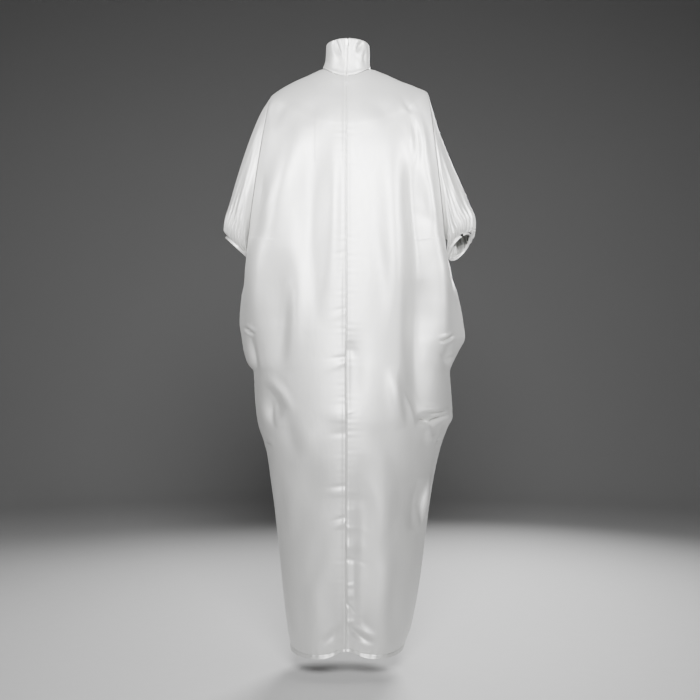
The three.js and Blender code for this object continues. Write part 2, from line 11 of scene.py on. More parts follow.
import bpy
import numpy as np
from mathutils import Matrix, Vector


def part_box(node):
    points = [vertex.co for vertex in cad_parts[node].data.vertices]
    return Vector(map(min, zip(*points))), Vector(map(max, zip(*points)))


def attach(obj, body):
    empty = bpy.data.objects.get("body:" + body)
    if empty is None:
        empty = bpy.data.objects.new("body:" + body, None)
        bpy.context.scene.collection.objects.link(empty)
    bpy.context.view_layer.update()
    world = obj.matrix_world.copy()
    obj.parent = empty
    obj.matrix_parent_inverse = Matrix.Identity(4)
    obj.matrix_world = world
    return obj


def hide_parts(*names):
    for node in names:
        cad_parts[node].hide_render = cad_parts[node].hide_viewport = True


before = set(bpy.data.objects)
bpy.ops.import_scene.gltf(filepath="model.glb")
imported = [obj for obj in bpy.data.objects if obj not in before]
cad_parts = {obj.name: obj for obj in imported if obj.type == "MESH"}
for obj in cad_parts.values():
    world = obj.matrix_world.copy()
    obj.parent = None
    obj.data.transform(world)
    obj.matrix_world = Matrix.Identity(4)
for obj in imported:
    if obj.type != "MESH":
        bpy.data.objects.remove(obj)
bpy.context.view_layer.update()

MM = 0.001  # metres in a millimetre
print("pieces in the frame:", len(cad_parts))

# %% [markdown]
# ## Tables of sizes
# A garment is cut from a size chart, so the forms here come from tables too: names on top, then a
# row for each section. A smooth line is read through a column wherever a size is needed. It never
# swings past its own points, so a fold stays where it was put.


# %% Reading a table
def table(text):
    """Columns of numbers under their names, from lines of text. A # starts a note."""
    lines = [line.split("#")[0].split() for line in text.splitlines()]
    names, *rows = filter(None, lines)
    return dict(zip(names, np.array(rows, float).T))


def rows_of(sheet):
    return [dict(zip(sheet, row)) for row in zip(*sheet.values())]


def along(sheet, name, at):
    """A smooth line through one column, read against the table's first column."""
    x, y = next(iter(sheet.values())), sheet[name]
    if x[0] > x[-1]:
        x, y = x[::-1], y[::-1]
    span = np.diff(x)
    secant = np.diff(y) / span
    product = secant[:-1] * secant[1:]
    total = np.where(product > 0, secant[:-1] + secant[1:], 1)
    middle = np.where(product > 0, 2 * product / total, 0)
    slope = np.concatenate([secant[:1], middle, secant[-1:]])
    i = np.clip(np.searchsorted(x, at) - 1, 0, len(x) - 2)
    t = np.clip((at - x[i]) / span[i], 0, 1)
    from_start = (2 * t**3 - 3 * t**2 + 1) * y[i] + (t**3 - 2 * t**2 + t) * slope[i] * span[i]
    return from_start + (3 * t**2 - 2 * t**3) * y[i + 1] + (t**3 - t**2) * slope[i + 1] * span[i]


def lerp(a, b, t):
    return a + (b - a) * t


def bell(distance, width):
    return np.exp(-((distance / width) ** 2))


def unit(vectors):
    return vectors / np.maximum(np.linalg.norm(vectors, axis=-1, keepdims=True), 1e-9)


# %% [markdown]
# ## The cut
# The body is a wide sack that narrows to the hem. Each row below is a level section: its half
# widths to the left and right, the half width that its middle follows, how far forward its side
# seam lies, how far the centre hangs below the side seam, its depth, how square it is, and how far
# the side seam is drawn in under the arm.

# %% Sizes of the body and the collar
SEAM = 0.3  # the gap between two sewn pieces
NECK_HEIGHT, SHOULDER_TIP, UNDERARM, HEM = 14, -51, -405, -1427
ARMHOLE_STEPS, ARMHOLE_SPREAD = 20, 0.6
GROOVE = 36  # half depth of the hollow under the arm
BODY = table("""
height left right core sideY backDrop backDepth frontDrop frontDepth square drawnIn
14 59 59 59 0 29 59 44 59 2 0
-2 94 101 98 1 48 73 64 68 2 0
-18 134 134 132 3 64 86 80 80 2 0
-34 167 172 169 5 78 96 94 91 2.1 0
-51 190 203 197 8 88 103 104 101 2.2 0
-150 205 213 209 8 62 114 72 122 2.5 0
-250 220 228 224 8 40 120 44 131 2.6 0
-340 238 240 239 8 28 123 30 130 2.6 2
-405 252 252 252 8 22 125 23 128 2.6 8
-450 261 263 253 10 19 127 20 127 2.5 28
-490 268 279 252 12 17 129 18 127 2.4 21
-557 269 287 250 14 14 132 16 128 2.2 5
-617 269 294 247 16 12 135 14 129 2.1 0
-655 264 299 245 18 11 137 13 130 2.1 0
-692 258 282 242 18 10 139 12 131 2.1 0
-722 248 267 239 18 9 141 11 132 2.1 0
-742 232 260 236 16 9 142 10 133 2.1 0
-800 229 264 229 12 7 144 8 134 2.1 0
-855 224 267 222 10 6 145 7 135 2.1 0
-880 219 255 217 9 5 145 6 135 2.1 0
-935 199 235 206 6 5 145 5 134 2.1 0
-1022 186 216 192 4 4 142 4 133 2.1 0
-1142 171 199 177 2 3 139 3 132 2.1 0
-1262 159 184 165 0 2 137 2 133 2.1 0
-1382 144 160 150 0 1 137 1 135 2.1 0
-1427 137 141 139 0 0 138 0 136 2.1 0
""")
TIP_RISE, TIP_REACH = {-1: -6, 1: 5}, 30  # one shoulder stands a little higher than the other
HEM_LIFT = {"height": 20, "half_width": 34, "reach": 150}
COLLAR = table("""
at halfWidth halfDepth shift
0 59 59 0
0.16 56.5 56 1
0.36 54.5 55 2
0.7 54 54.5 3
1 53 54 3
""")
COLLAR_TOP = {"back": 78, "front": 66}
print("from the shoulder's height to the hem:", NECK_HEIGHT - HEM, "mm")

# %% [markdown]
# A batwing sleeve is a flat tube. It is set into a very deep armhole and drawn into a narrow cuff,
# whose mouth looks down and outwards. Each ring of it has an outer and an inner end.

# %% Sizes of the sleeves
SLEEVES = {
    -1: table("""
at outX outZ inX inZ midY halfDepth turn
0 190.3 -57 244.3 -405 8 65 0
0.12 212 -92 247 -411 9 67 0
0.25 233 -140 248 -417 11 69 0
0.4 254 -197 248 -424 13 70 0
0.55 274 -257 247 -431 15 70 0
0.7 291 -317 246 -437 17 67 0
0.84 304 -364 245 -443 19 62 0
0.93 306 -388 244 -447.5 20 54 0
1 299.5 -401 243.5 -452.5 20 45 0
    """),
    1: table("""
at outX outZ inX inZ midY halfDepth turn
0 203.3 -46 244.3 -405 8 65 0
0.12 216 -90 252 -411 9 67 2
0.25 231 -137 256 -418 11 69 5
0.4 254 -195 258 -425 13 70 8
0.55 281 -257 258 -432 15 70 12
0.7 305 -315 257 -439 16 67 16
0.84 322 -362 256 -446 16 62 19
0.93 320 -386 255 -451 15 54 21
1 307 -396 254 -456 15 45 22
    """),
}
GATHERS = {"from": 0.34, "height": 3.2, "crush": 1.7, "crush_at": 0.86, "crush_reach": 0.16}
FINER = {"from": 0.62, "height": 0.9, "each": 2.31}  # between the gathers, and only near the cuff
CAUGHT = {"reach": 0.03, "left": 0.35, "seam": 0.7}  # how far the binding and the seam press them
GATHER_SIZES = np.array([1, 0.65, 1.25, 0.8, 1.1])
SIDE_NAME = {-1: "left", 1: "right"}
print("gathers in each sleeve:", ARMHOLE_STEPS)

# %% [markdown]
# ## Folds and creases
# Satin is slippery and a little stiff, so it falls in long soft folds, and it breaks into short
# creases where the cloth bags over itself at the hips and knees. A simulation would scatter these
# at random, so they are listed one by one: each is a line on one face, with a width and a depth. A
# trough has a depth below zero. Its edge is steeper on one side, as a real fold's is.

# %% The large folds
FOLDS = table("""
face x1 z1 x2 z2 width depth
# the back's left half
-1 -100 -90 -226 -520 38 14
-1 -218 -400 -226 -690 30 10
-1 -78 -150 -94 -640 30 -10
-1 -24 -140 -34 -560 20 6
-1 -142 -440 -176 -800 32 -12
-1 -122 -480 -134 -740 20 5
-1 -236 -636 -226 -770 11 -11
-1 -222 -840 -140 -806 30 -11
-1 -120 -900 -60 -1100 40 -5
-1 -86 -1120 -86 -1600 46 9
# the back's right half
-1 156 -170 184 -520 26 -22
-1 184 -380 178 -900 34 -30
-1 102 -120 124 -680 30 11
-1 184 -150 246 -560 17 14
-1 234 -420 240 -720 20 14
-1 22 -620 14 -860 26 -6
-1 252 -656 250 -770 12 -11
-1 108 -720 132 -880 16 9
-1 164 -860 264 -858 12 -16
-1 170 -836 262 -832 12 6
-1 208 -996 178 -1140 14 13
-1 186 -1000 160 -1130 15 -13
-1 38 -930 42 -1320 24 -8
-1 96 -880 92 -1440 24 8
-1 92 -1150 92 -1600 34 9
-1 36 -1230 30 -1600 26 -8
-1 -28 -1240 -34 -1600 24 -6
# the front
1 -90 -130 -120 -420 34 8
1 105 -150 140 -460 34 8
1 -40 -260 -90 -700 34 -9
1 60 -300 110 -760 36 -9
1 -250 -652 -150 -716 20 -11
1 262 -662 160 -730 20 -11
1 -205 -862 -110 -930 22 -10
1 230 -868 120 -945 22 -10
1 -75 -1040 -80 -1600 44 8
1 80 -1060 76 -1600 44 8
""")
print("large folds:", len(FOLDS["face"]))

# %% The small creases
CREASES = table("""
face x1 z1 x2 z2 width depth bow steep
# the back, from the shoulders down
-1 148 -62 160 -110 7 -3.9 6 1.6
-1 160 -108 176 -250 9 -4.8 -6 1.8
-1 172 -96 188 -240 8 3 -6 1
-1 -176 -60 -196 -112 7 2.4 3 1
-1 -140 -70 -178 -150 14 -2.7 8 1
-1 -60 -64 -96 -150 20 -2.1 6 1
-1 60 -70 104 -140 20 -2.1 -6 1
-1 192 -260 206 -400 10 -3.3 5 1.6
-1 -200 -250 -226 -396 10 -3 -5 1.6
-1 226 -404 150 -340 12 -1.2 6 1.2
-1 -226 -408 -160 -330 13 -1.05 -6 1.2
-1 -60 -420 -70 -640 16 -2.1 6 1
-1 70 -380 92 -620 18 -2.1 -6 1
# the left bag over the hip
-1 -254 -630 -222 -650 4 -7.5 0 2.4
-1 -236 -645 -216 -748 6 -4.5 5 2
# the right bag over the hip
-1 226 -666 268 -650 4 -9 2 2.4
-1 250 -712 276 -700 4 -3.9 0 1.5
-1 226 -690 262 -738 8 -3.6 -5 1.8
# the right bag over the knee
-1 186 -838 257 -836 4.5 -7.5 5 2.4
-1 180 -856 216 -872 5 -7.5 -3 2.4
-1 206 -872 258 -850 4.5 -8.1 -6 2.4
-1 192 -888 216 -906 10 3.6 0 1
-1 219 -918 236 -909 4 -3.3 0 1.5
-1 133 -780 168 -872 8 3 -5 1.6
-1 202 -1000 182 -1128 6 -6.6 6 2.2
-1 214 -985 190 -1110 7 4.8 6 1
# the left leg
-1 -192 -796 -170 -886 9 -4.5 6 1.6
-1 -203 -908 -180 -924 5 -3.9 2 1.6
-1 -206 -768 -158 -872 15 -5.1 -7 1.8
-1 -196 -752 -136 -836 9 2.7 -6 1
-1 -150 -820 -110 -960 16 -3.3 8 1
-1 -58 -850 -122 -1010 26 2.7 9 1
-1 -168 -980 -150 -1150 14 -3.3 4 1
-1 -44 -1120 -98 -1290 22 -2.85 7 1
# the right leg
-1 60 -860 132 -1010 22 -3.3 -9 1
-1 40 -960 92 -1120 20 2.55 -6 1
-1 128 -1060 86 -1230 18 -3 7 1
# the hem
-1 2 -1342 70 -1392 6 -3.9 5 1.8
-1 10 -1330 72 -1378 8 2.7 5 1
-1 -12 -1340 -58 -1392 8 -2.4 -5 1.5
-1 18 -1150 24 -1350 8 1.95 4 1
-1 120 -1230 104 -1400 16 -2.7 5 1
-1 -116 -1240 -98 -1405 16 -2.7 -5 1
# the front, with folds of the same kinds
1 -150 -70 -168 -180 10 -3.3 5 1.5
1 152 -70 172 -190 10 -3.6 -5 1.5
1 -60 -70 -92 -170 18 -2.4 6 1
1 58 -74 96 -180 18 -2.4 -6 1
1 -222 -408 -140 -330 9 -3.6 -6 1.5
1 222 -406 150 -320 9 -3.3 6 1.5
1 -20 -420 -34 -660 16 -2.7 5 1
1 30 -360 44 -600 18 -2.4 -5 1
1 -256 -634 -206 -654 6 -5.4 3 1.8
1 -232 -700 -176 -730 8 -3.9 -4 1.6
1 272 -652 222 -676 6 -5.7 -3 1.8
1 254 -712 190 -748 8 -4.2 4 1.6
1 -216 -846 -160 -872 7 -4.5 4 1.6
1 250 -842 180 -866 6 -5.1 -4 1.6
1 226 -900 170 -924 9 3.3 3 1
1 -150 -960 -128 -1120 12 -3 5 1.3
1 168 -1010 140 -1160 11 -3.3 5 1.3
1 -20 -1020 -30 -1300 18 -3 6 1
1 34 -1080 28 -1360 18 -2.7 -6 1
1 -116 -1250 -100 -1400 14 -2.4 -5 1
1 118 -1240 102 -1400 14 -2.7 5 1
""")
print("small creases:", len(CREASES["face"]))


# %% A fold's height at a point
CREASE = {"ends": 1.4, "lip": 0.3, "lip_at": 2.2}


def crease_height(crease, x, z):
    """A soft trough or ridge along a line, which may bow and may be steeper on one side."""
    dx, dz = crease["x2"] - crease["x1"], crease["z2"] - crease["z1"]
    length = math.hypot(dx, dz)
    t = ((x - crease["x1"]) * dx + (z - crease["z1"]) * dz) / length**2
    away = ((x - crease["x1"]) * dz - (z - crease["z1"]) * dx) / length
    arch = np.sin(math.pi * np.clip(t, 0, 1))
    height = crease["depth"] * arch ** CREASE["ends"]
    if "bow" not in crease:
        return height * bell(away, crease["width"])
    away = away - crease["bow"] * arch
    width = crease["width"]
    trough = bell(away, width * np.where(away > 0, 1, 1 / crease["steep"]))
    return height * (trough - CREASE["lip"] * bell(np.abs(away) - CREASE["lip_at"] * width, width))


def all_creases(sheet, x, z, face=None):
    """The summed height of a table's folds at a point, or of those on one face."""
    rows = [row for row in rows_of(sheet) if face in (None, row.get("face"))]
    return sum(crease_height(row, x, z) for row in rows)


# %% [markdown]
# ## The forms of the pieces
# Each sleeve ring is an ellipse in space. The body's panels meet the sleeve on its first ring,
# the armhole seam, so both are worked out from the same ring and stay 0.3 mm apart.


# %% Sleeve rings
def sleeve_rings(side, at):
    """The flat rings that a sleeve follows: middles, long and front half axes, and ways down."""
    sheet = SLEEVES[side]
    read = {name: along(sheet, name, at) for name in sheet}
    none = np.zeros_like(at)
    out = np.stack([read["outX"], none, read["outZ"]], -1)
    inner = np.stack([read["inX"], none, read["inZ"]], -1)
    middle = (out + inner) / 2
    middle[:, 1] = read["midY"]
    long = (out - inner) / 2
    way = unit(long)
    opening = np.stack([way[:, 2], none, -way[:, 0]], -1)
    turn = np.radians(read["turn"])
    forward = np.stack([none, np.cos(turn), none], -1) + opening * np.sin(turn)[:, None]
    return middle, long, forward * read["halfDepth"][:, None], opening


def ring_points(side, rings, angle, outward=0.0):
    """Points on rings, from the outer end (0) by the front (90) or back (-90) to the inner end."""
    middle, long, front = (part[:, None, :] for part in rings[:3])
    a = np.radians(angle)[..., None]
    size = lambda axis: (axis**2).sum(-1, keepdims=True)
    radial = unit(long * np.cos(a) / size(long) + front * np.sin(a) / size(front))
    outward = np.broadcast_to(outward, a.shape[:-1])[..., None]
    point = middle + long * np.cos(a) + front * np.sin(a) + radial * outward
    point[..., 0] *= side
    return point


def step_angle(k, at):
    """The angle of the k-th step down one side of a ring: even at the cuff, spread above."""
    s = k / ARMHOLE_STEPS
    return 180 * (s + ARMHOLE_SPREAD * (1 - at) * np.sin(2 * math.pi * s) / (2 * math.pi))


def armhole(side, face, angle):
    rings = sleeve_rings(side, np.zeros(1))
    seam = ring_points(side, rings, (face * angle)[None, :])[0]
    seam[:, 0] -= side * SEAM
    return seam


print("left armhole, top and bottom:", armhole(-1, 1, np.array([0.0, 180.0])).round().tolist())

# %% [markdown]
# The rows of a panel run level across it. At the shoulder they start on the shoulder seam, then
# they start on the armhole, and below that on the side seam. They stand close together at the
# hem, where the cloth is turned up, and the columns stand close together beside each seam.

# %% Rows and columns of a panel
SHOULDER_ROWS, ARMHOLE_ROWS, LOWER_ROWS = 16, 84, 276
BAGS, BAG_REACH = [-655, -856], 26  # heights of the sharpest creases, where the rows crowd
HEM_ROWS = [0, 0.7, 1.6, 3, 5, 7, 8.2, 8.9, 9.6, 10.6, 12.2, 14.6]
shoulder_heights = np.linspace(NECK_HEIGHT, SHOULDER_TIP, SHOULDER_ROWS, endpoint=False)
armhole_angles = step_angle(np.linspace(0, ARMHOLE_STEPS, ARMHOLE_ROWS), 0)
armhole_heights = lerp(SHOULDER_TIP, UNDERARM, (1 - np.cos(np.radians(armhole_angles))) / 2)
last_row = HEM + HEM_ROWS[-1]
way_down = np.linspace(UNDERARM, last_row, 1000)
crowding = 1 + sum(bell(way_down - bag, BAG_REACH) for bag in BAGS)
passed = np.cumsum(crowding) / crowding.sum()
lower_heights = np.interp(np.linspace(0, 1, LOWER_ROWS + 1)[1:], passed, way_down)
hem_heights = HEM + np.array(HEM_ROWS[-2::-1])
HEIGHTS = np.concatenate([shoulder_heights, armhole_heights, lower_heights, hem_heights])
ANGLES = np.full(len(HEIGHTS), np.nan)
ANGLES[SHOULDER_ROWS : SHOULDER_ROWS + ARMHOLE_ROWS] = armhole_angles
ON_ARMHOLE = (ANGLES > 0) & (ANGLES < 180)


def reaches(count):
    """Columns from the centre line (0) to a side (1), crowded beside both seams."""
    beside = np.array([0, 0.0016, 0.0036, 0.0064, 0.0105, 0.0165])
    even = np.linspace(beside[-1], 1 - beside[-1], count)[1:-1]
    return np.concatenate([beside, even, 1 - beside[::-1]])


print("rows of a panel:", len(HEIGHTS))


# %% The body's smooth surface
def body_edge(side, face):
    """The side seam or the armhole seam at each row."""
    name = SIDE_NAME[side]
    rise = TIP_RISE[side] * bell(HEIGHTS - SHOULDER_TIP, TIP_REACH)
    x = side * along(BODY, name, HEIGHTS)
    y = along(BODY, "sideY", HEIGHTS) + face * SEAM / 2
    edge = np.stack([x, y, HEIGHTS + rise], -1)
    rows = ~np.isnan(ANGLES)
    edge[rows] = armhole(side, face, ANGLES[rows])
    ends = rows & ~ON_ARMHOLE
    edge[ends, 1] = y[ends]
    return edge


def body_half(face, side, reach):
    """The front (face 1) or back (-1) surface on one side, a row for each height."""
    h = HEIGHTS[:, None]
    edge = body_edge(side, face)[:, None, :]
    middle = along(BODY, "sideY", h)
    name = "back" if face < 0 else "front"
    depth = along(BODY, name + "Depth", h) - face * middle
    centre_z = h - along(BODY, name + "Drop", h)
    power = along(BODY, "square", h)
    drawn = along(BODY, "drawnIn", h)
    edge_y = np.abs(edge[..., 1] - middle)
    sewn = (ANGLES > 0)[:, None]
    full = np.abs(edge[..., 0]) + sewn * drawn * bell(edge_y, GROOVE)
    bulge = np.where(h < UNDERARM, full - along(BODY, "core", h), 0)
    edge_x = full - bulge
    half_width = edge_x / (1 - (edge_y / depth) ** power) ** (1 / power)
    turn = np.arctan2(edge_x, edge_y) * reach[None, :]
    cosine = np.maximum(np.cos(turn), 0)
    radius = ((np.sin(turn) / half_width) ** power + (cosine / depth) ** power) ** (-1 / power)
    off_centre = radius * cosine
    rise = (depth**2 - off_centre**2) / (depth**2 - edge_y**2)
    x = radius * np.sin(turn) + bulge * reach[None, :] ** 5 - drawn * bell(off_centre, GROOVE)
    point = np.stack([side * x, middle + face * off_centre, lerp(centre_z, edge[..., 2], rise)], -1)
    if face < 0:
        low = np.clip(1 - (h - HEM) / HEM_LIFT["reach"], 0, 1)
        point[..., 2] += HEM_LIFT["height"] * low**2 * bell(point[..., 0], HEM_LIFT["half_width"])
    return point


def grid_normals(grid):
    return unit(np.cross(np.gradient(grid, axis=0), np.gradient(grid, axis=1)))


def lengths(grid, axis):
    """How far each point lies down its column (0) or along its row (1)."""
    steps = np.linalg.norm(np.diff(grid, axis=axis), axis=-1)
    return np.insert(np.cumsum(steps, axis), 0, 0, axis)


# %% [markdown]
# ## Seams
# Two panels sewn together turn their edges inwards, which leaves a narrow groove with a small
# swell on each side. Thread pulls the cloth a little shorter, so short uneven puckers run off the
# seam. Here they are sums of sines of lengths that never fall into step.

# %% Seam relief
ROLL = {"depth": 1.3, "width": 1.7, "swell": 0.45, "swell_at": 5.5, "swell_width": 4}
PUCKER = {"height": 0.42, "start": 2.5, "reach": 13, "spacing": 15}


def uneven_wave(t, spacing):
    waves = np.sin(t / spacing * 6.3) + 0.8 * np.sin(t / spacing * 4.1 + 1.3)
    envelope = 0.55 + 0.45 * np.sin(t / spacing * 0.83 + 0.7) * np.sin(t / spacing * 0.37)
    return waves * envelope


def groove(sizes, distance):
    """A seam's groove and the low swell beside it."""
    swell = sizes["swell"] * bell(distance - sizes["swell_at"], sizes["swell_width"])
    return swell - sizes["depth"] * bell(distance, sizes["width"])


def seam_relief(distance, t, shift=0.0):
    """A groove, with puckers that run off it. The shift gives each seam its own puckers."""
    fade = np.exp(-distance / PUCKER["reach"]) * (1 - np.exp(-distance / PUCKER["start"]))
    puckers = PUCKER["height"] * fade * uneven_wave(t + shift, PUCKER["spacing"])
    return groove(ROLL, distance) + puckers


CENTRE_RIDGE = {-1: 0.9, 1: 0.2}  # its height on each side of the seam
CENTRE_PUCKERS = table("""
side z slope length width height
# left of the seam: flat tucks, dark above and light below
-1 -300 -0.2 18 5 -0.7
-1 -452 -0.2 18 5 -0.8
-1 -586 -0.3 24 5 -0.9
-1 -600 -0.35 26 7 1
-1 -704 -0.1 28 4.5 -1.8
-1 -717 -0.35 30 8 2
-1 -846 0 34 20 3
-1 -884 -0.1 26 8 -1.6
-1 -1012 -0.1 34 5 -1.7
-1 -1025 -0.1 34 9 1.7
-1 -1086 -0.25 20 4 -2.2
-1 -1098 -0.5 16 6 2.2
# right of it: a hollow, then a run of bumps towards the hem
1 -688 0 17 18 -3.6
1 -838 0.2 10 3 1.2
1 -1048 0 34 16 -2.2
1 -1110 -0.2 26 7 2.4
1 -1157 -0.1 26 14 3.8
1 -1186 -0.25 26 5 -3.4
1 -1250 0.1 22 5 1.8
1 -1272 0 16 9 2.2
1 -1292 -1.1 20 4.5 -3
1 -1336 0 18 6 2.4
""")
print("puckers placed by hand on the centre seam:", len(CENTRE_PUCKERS["z"]))


def centre_seam(side, distance, z):
    """The back's centre seam: a soft ridge on its left, and puckers that run off it."""
    total = seam_relief(distance, z, 40 * side) + CENTRE_RIDGE[side] * bell(distance - 5, 4)
    for pucker in rows_of(CENTRE_PUCKERS):
        if pucker["side"] == side:
            line = z - pucker["z"] - pucker["slope"] * distance
            reach = bell(distance - 6, pucker["length"])
            total = total + pucker["height"] * bell(line, pucker["width"]) * reach
    return total


# %% [markdown]
# ## Thin shells
# A sheet of cloth is a closed mesh here: an outer grid, an inner grid one cloth thickness behind
# it, and a rim that joins them. Flat, thick edges would look like card, so the shell is only as
# thick as turned satin. Edges sharper than 50 degrees, such as the rims, keep a crisp shade.


# %% Building a mesh from grids
def add_mesh(name, points, faces):
    mesh = bpy.data.meshes.new(name)
    mesh.from_pydata((np.asarray(points).reshape(-1, 3) * MM).tolist(), [], faces)
    mesh.validate()
    piece = bpy.data.objects.new(name, mesh)
    bpy.context.scene.collection.objects.link(piece)
    mesh.shade_smooth()
    mesh.set_sharp_from_angle(angle=math.radians(50))
    return piece


def quads(rows, columns, ring):
    """Faces of a grid of points, which closes on itself across its columns if it is a ring."""
    r = np.arange(rows - 1)[:, None] * columns
    c = np.arange(columns if ring else columns - 1)[None, :]
    here, right = r + c, r + (c + 1) % columns
    return np.stack([here, here + columns, right + columns, right], -1).reshape(-1, 4)


def facing_out(points, faces):
    """The faces of a closed mesh, turned over if they look inwards."""
    a, b, c = (points[faces[:, i]] for i in (0, 1, 2))
    return faces[:, ::-1] if (a * np.cross(b, c)).sum() < 0 else faces


def shell(name, outer, thickness, normals):
    """A closed sheet of cloth behind an outer grid of points."""
    rows, columns = outer.shape[:2]
    behind = rows * columns
    number = np.arange(behind).reshape(rows, columns)
    front = quads(rows, columns, False)
    rims = []
    for edge, order in (
        (number[0], [0, 1, 2, 3]),
        (number[-1], [0, 3, 2, 1]),
        (number[:, 0], [0, 3, 2, 1]),
        (number[:, -1], [0, 1, 2, 3]),
    ):
        rim = np.stack([edge[:-1], edge[1:], edge[1:] + behind, edge[:-1] + behind], -1)
        rims.append(rim[:, order])
    points = np.concatenate([outer, outer - normals * thickness]).reshape(-1, 3)
    faces = np.concatenate([front, (front + behind)[:, ::-1], *rims])
    piece = add_mesh(name, points, facing_out(points, faces).tolist())
    cloth = sum(p.area for p in piece.data.polygons) / 2
    print(f"{name}: {len(faces) * 2} triangles, {cloth:.3f} square metres of cloth")
    return piece


# %% [markdown]
# ## Finishes
# Every finish is worked out from what the real thing is made of. Colours are sRGB codes that one
# function turns linear, and pattern sizes are worked out from millimetres.


# %% Colour and node helpers
def linear(code):
    """#rrggbb as Blender's linear RGBA."""
    parts = [int(code[i : i + 2], 16) / 255 for i in (1, 3, 5)]
    return [p / 12.92 if p <= 0.04045 else ((p + 0.055) / 1.055) ** 2.4 for p in parts] + [1]


def fill_in(material, node, inputs):
    """Sets a node's inputs: a socket is linked, and anything else is the input's value."""
    for name, value in inputs.items():
        if isinstance(value, bpy.types.NodeSocket):
            material.node_tree.links.new(value, node.inputs[name])
        else:
            node.inputs[name].default_value = value


def add_node(material, kind, inputs=None, **settings):
    """Adds a node with its settings, and with values or links on its inputs."""
    node = material.node_tree.nodes.new(kind)
    for name, value in settings.items():
        setattr(node, name, value)
    fill_in(material, node, inputs or {})
    return node


def new_material(name):
    material = bpy.data.materials.new(name)
    material.use_nodes = True
    return material, material.node_tree.nodes["Principled BSDF"]


WAVE_TURNS = 20 / (2 * math.pi)  # bands in a metre of the Wave texture at scale 1


def band_scale(spacing):
    """The Wave texture's scale for bands this many millimetres apart."""
    return 1 / (spacing * MM * WAVE_TURNS)


def noise_scale(size):
    """The Noise texture's scale for lumps of this many millimetres."""
    return 1 / (size * MM)


# %% [markdown]
# Polyester satin: long warp threads float over the weft, so the face is smooth and has a soft
# sheen, and the light runs along its folds. Real floats are 0.2 mm wide, too fine to show, so they
# are drawn 1.1 mm apart, and very shallow. A slow noise makes the cloth a little uneven. Cloth is
# no metal, but its floats lie side by side and mirror the light as one, so it is partly metallic.

# %% White polyester satin
FLOATS = 1.1  # drawn coarser than the real 0.2 mm, to show at all
satin, shader = new_material("polyester_satin_white")
place = add_node(satin, "ShaderNodeTexCoord").outputs["Object"]
stretched = add_node(
    satin, "ShaderNodeMapping", {"Vector": place, "Scale": (1, 1, 0.35)}
).outputs["Vector"]
floats = add_node(
    satin,
    "ShaderNodeTexWave",
    {"Vector": place, "Scale": band_scale(FLOATS), "Distortion": 0.6, "Detail": 1},
    bands_direction="DIAGONAL",
).outputs["Fac"]
slub = add_node(
    satin, "ShaderNodeTexNoise", {"Vector": stretched, "Scale": noise_scale(9), "Detail": 3}
).outputs["Fac"]
slow = add_node(
    satin, "ShaderNodeTexNoise", {"Vector": stretched, "Scale": noise_scale(90), "Detail": 2}
).outputs["Fac"]
tone = add_node(satin, "ShaderNodeValToRGB", {"Fac": slow})
tone.color_ramp.elements[0].position = 0.35
tone.color_ramp.elements[1].position = 0.65
tone.color_ramp.elements[0].color = linear("#cfcfcd")
tone.color_ramp.elements[1].color = linear("#dadad8")
gloss = add_node(
    satin, "ShaderNodeMapRange", {"Value": slub, "To Min": 0.45, "To Max": 0.52}
).outputs["Result"]
fine = add_node(
    satin, "ShaderNodeBump", {"Height": floats, "Strength": 0.25, "Distance": 0.00012}
).outputs["Normal"]
soft = add_node(
    satin,
    "ShaderNodeBump",
    {"Height": slub, "Strength": 0.5, "Distance": 0.0005, "Normal": fine},
).outputs["Normal"]
fill_in(
    satin,
    shader,
    {
        "Base Color": tone.outputs["Color"],
        "Roughness": gloss,
        "IOR": 1.54,
        "Metallic": 0.58,
        "Specular IOR Level": 0.8,
        "Sheen Weight": 0.15,
        "Sheen Roughness": 0.35,
        "Normal": soft,
    },
)
print("satin: floats", FLOATS, "mm apart, wave scale", round(band_scale(FLOATS)))

# %% [markdown]
# Zip tape is plain woven polyester and matt. Its two greys are darker than the real tape's, as
# painted shade for the slit it lies in. Its ribs are 1 mm apart. Sewing thread is the same fibre,
# spun and a little glossier.

# %% Woven zip tape and sewing thread
tape, shader = new_material("polyester_tape_woven")
place = add_node(tape, "ShaderNodeTexCoord").outputs["Object"]
ribs = add_node(
    tape, "ShaderNodeTexWave", {"Vector": place, "Scale": band_scale(1)}, bands_direction="Z"
).outputs["Fac"]
ribbed = add_node(
    tape, "ShaderNodeBump", {"Height": ribs, "Strength": 0.6, "Distance": 0.0002}
).outputs["Normal"]
# the tape's greys are painted shade of the slit, darker than the real tape
tape_shade_tone = add_node(
    tape, "ShaderNodeMix", {"Factor": ribs, "A": linear("#a9a9a7"), "B": linear("#bababa")},
    data_type="RGBA",
)
fill_in(
    tape, shader,
    {"Base Color": tape_shade_tone.outputs["Result"], "Roughness": 0.75, "IOR": 1.54, "Normal": ribbed},
)
thread, shader = new_material("polyester_thread_spun")
place = add_node(thread, "ShaderNodeTexCoord").outputs["Object"]
plies = add_node(
    thread, "ShaderNodeTexWave", {"Vector": place, "Scale": band_scale(0.7)},
    bands_direction="DIAGONAL",
).outputs["Fac"]
twisted = add_node(
    thread, "ShaderNodeBump", {"Height": plies, "Strength": 0.6, "Distance": 0.0001}
).outputs["Normal"]
fill_in(
    thread, shader,
    {"Base Color": linear("#e4e4e1"), "Roughness": 0.5, "IOR": 1.54, "Normal": twisted},
)
print("made", tape.name, "and", thread.name)

# %% [markdown]
# The slider and its tab are die-cast zinc under white enamel: a smooth hard coat with a soft
# shine, and faint orange peel where it was sprayed. The cuff buttons are polished black polyester
# resin, a hard glossy plastic.

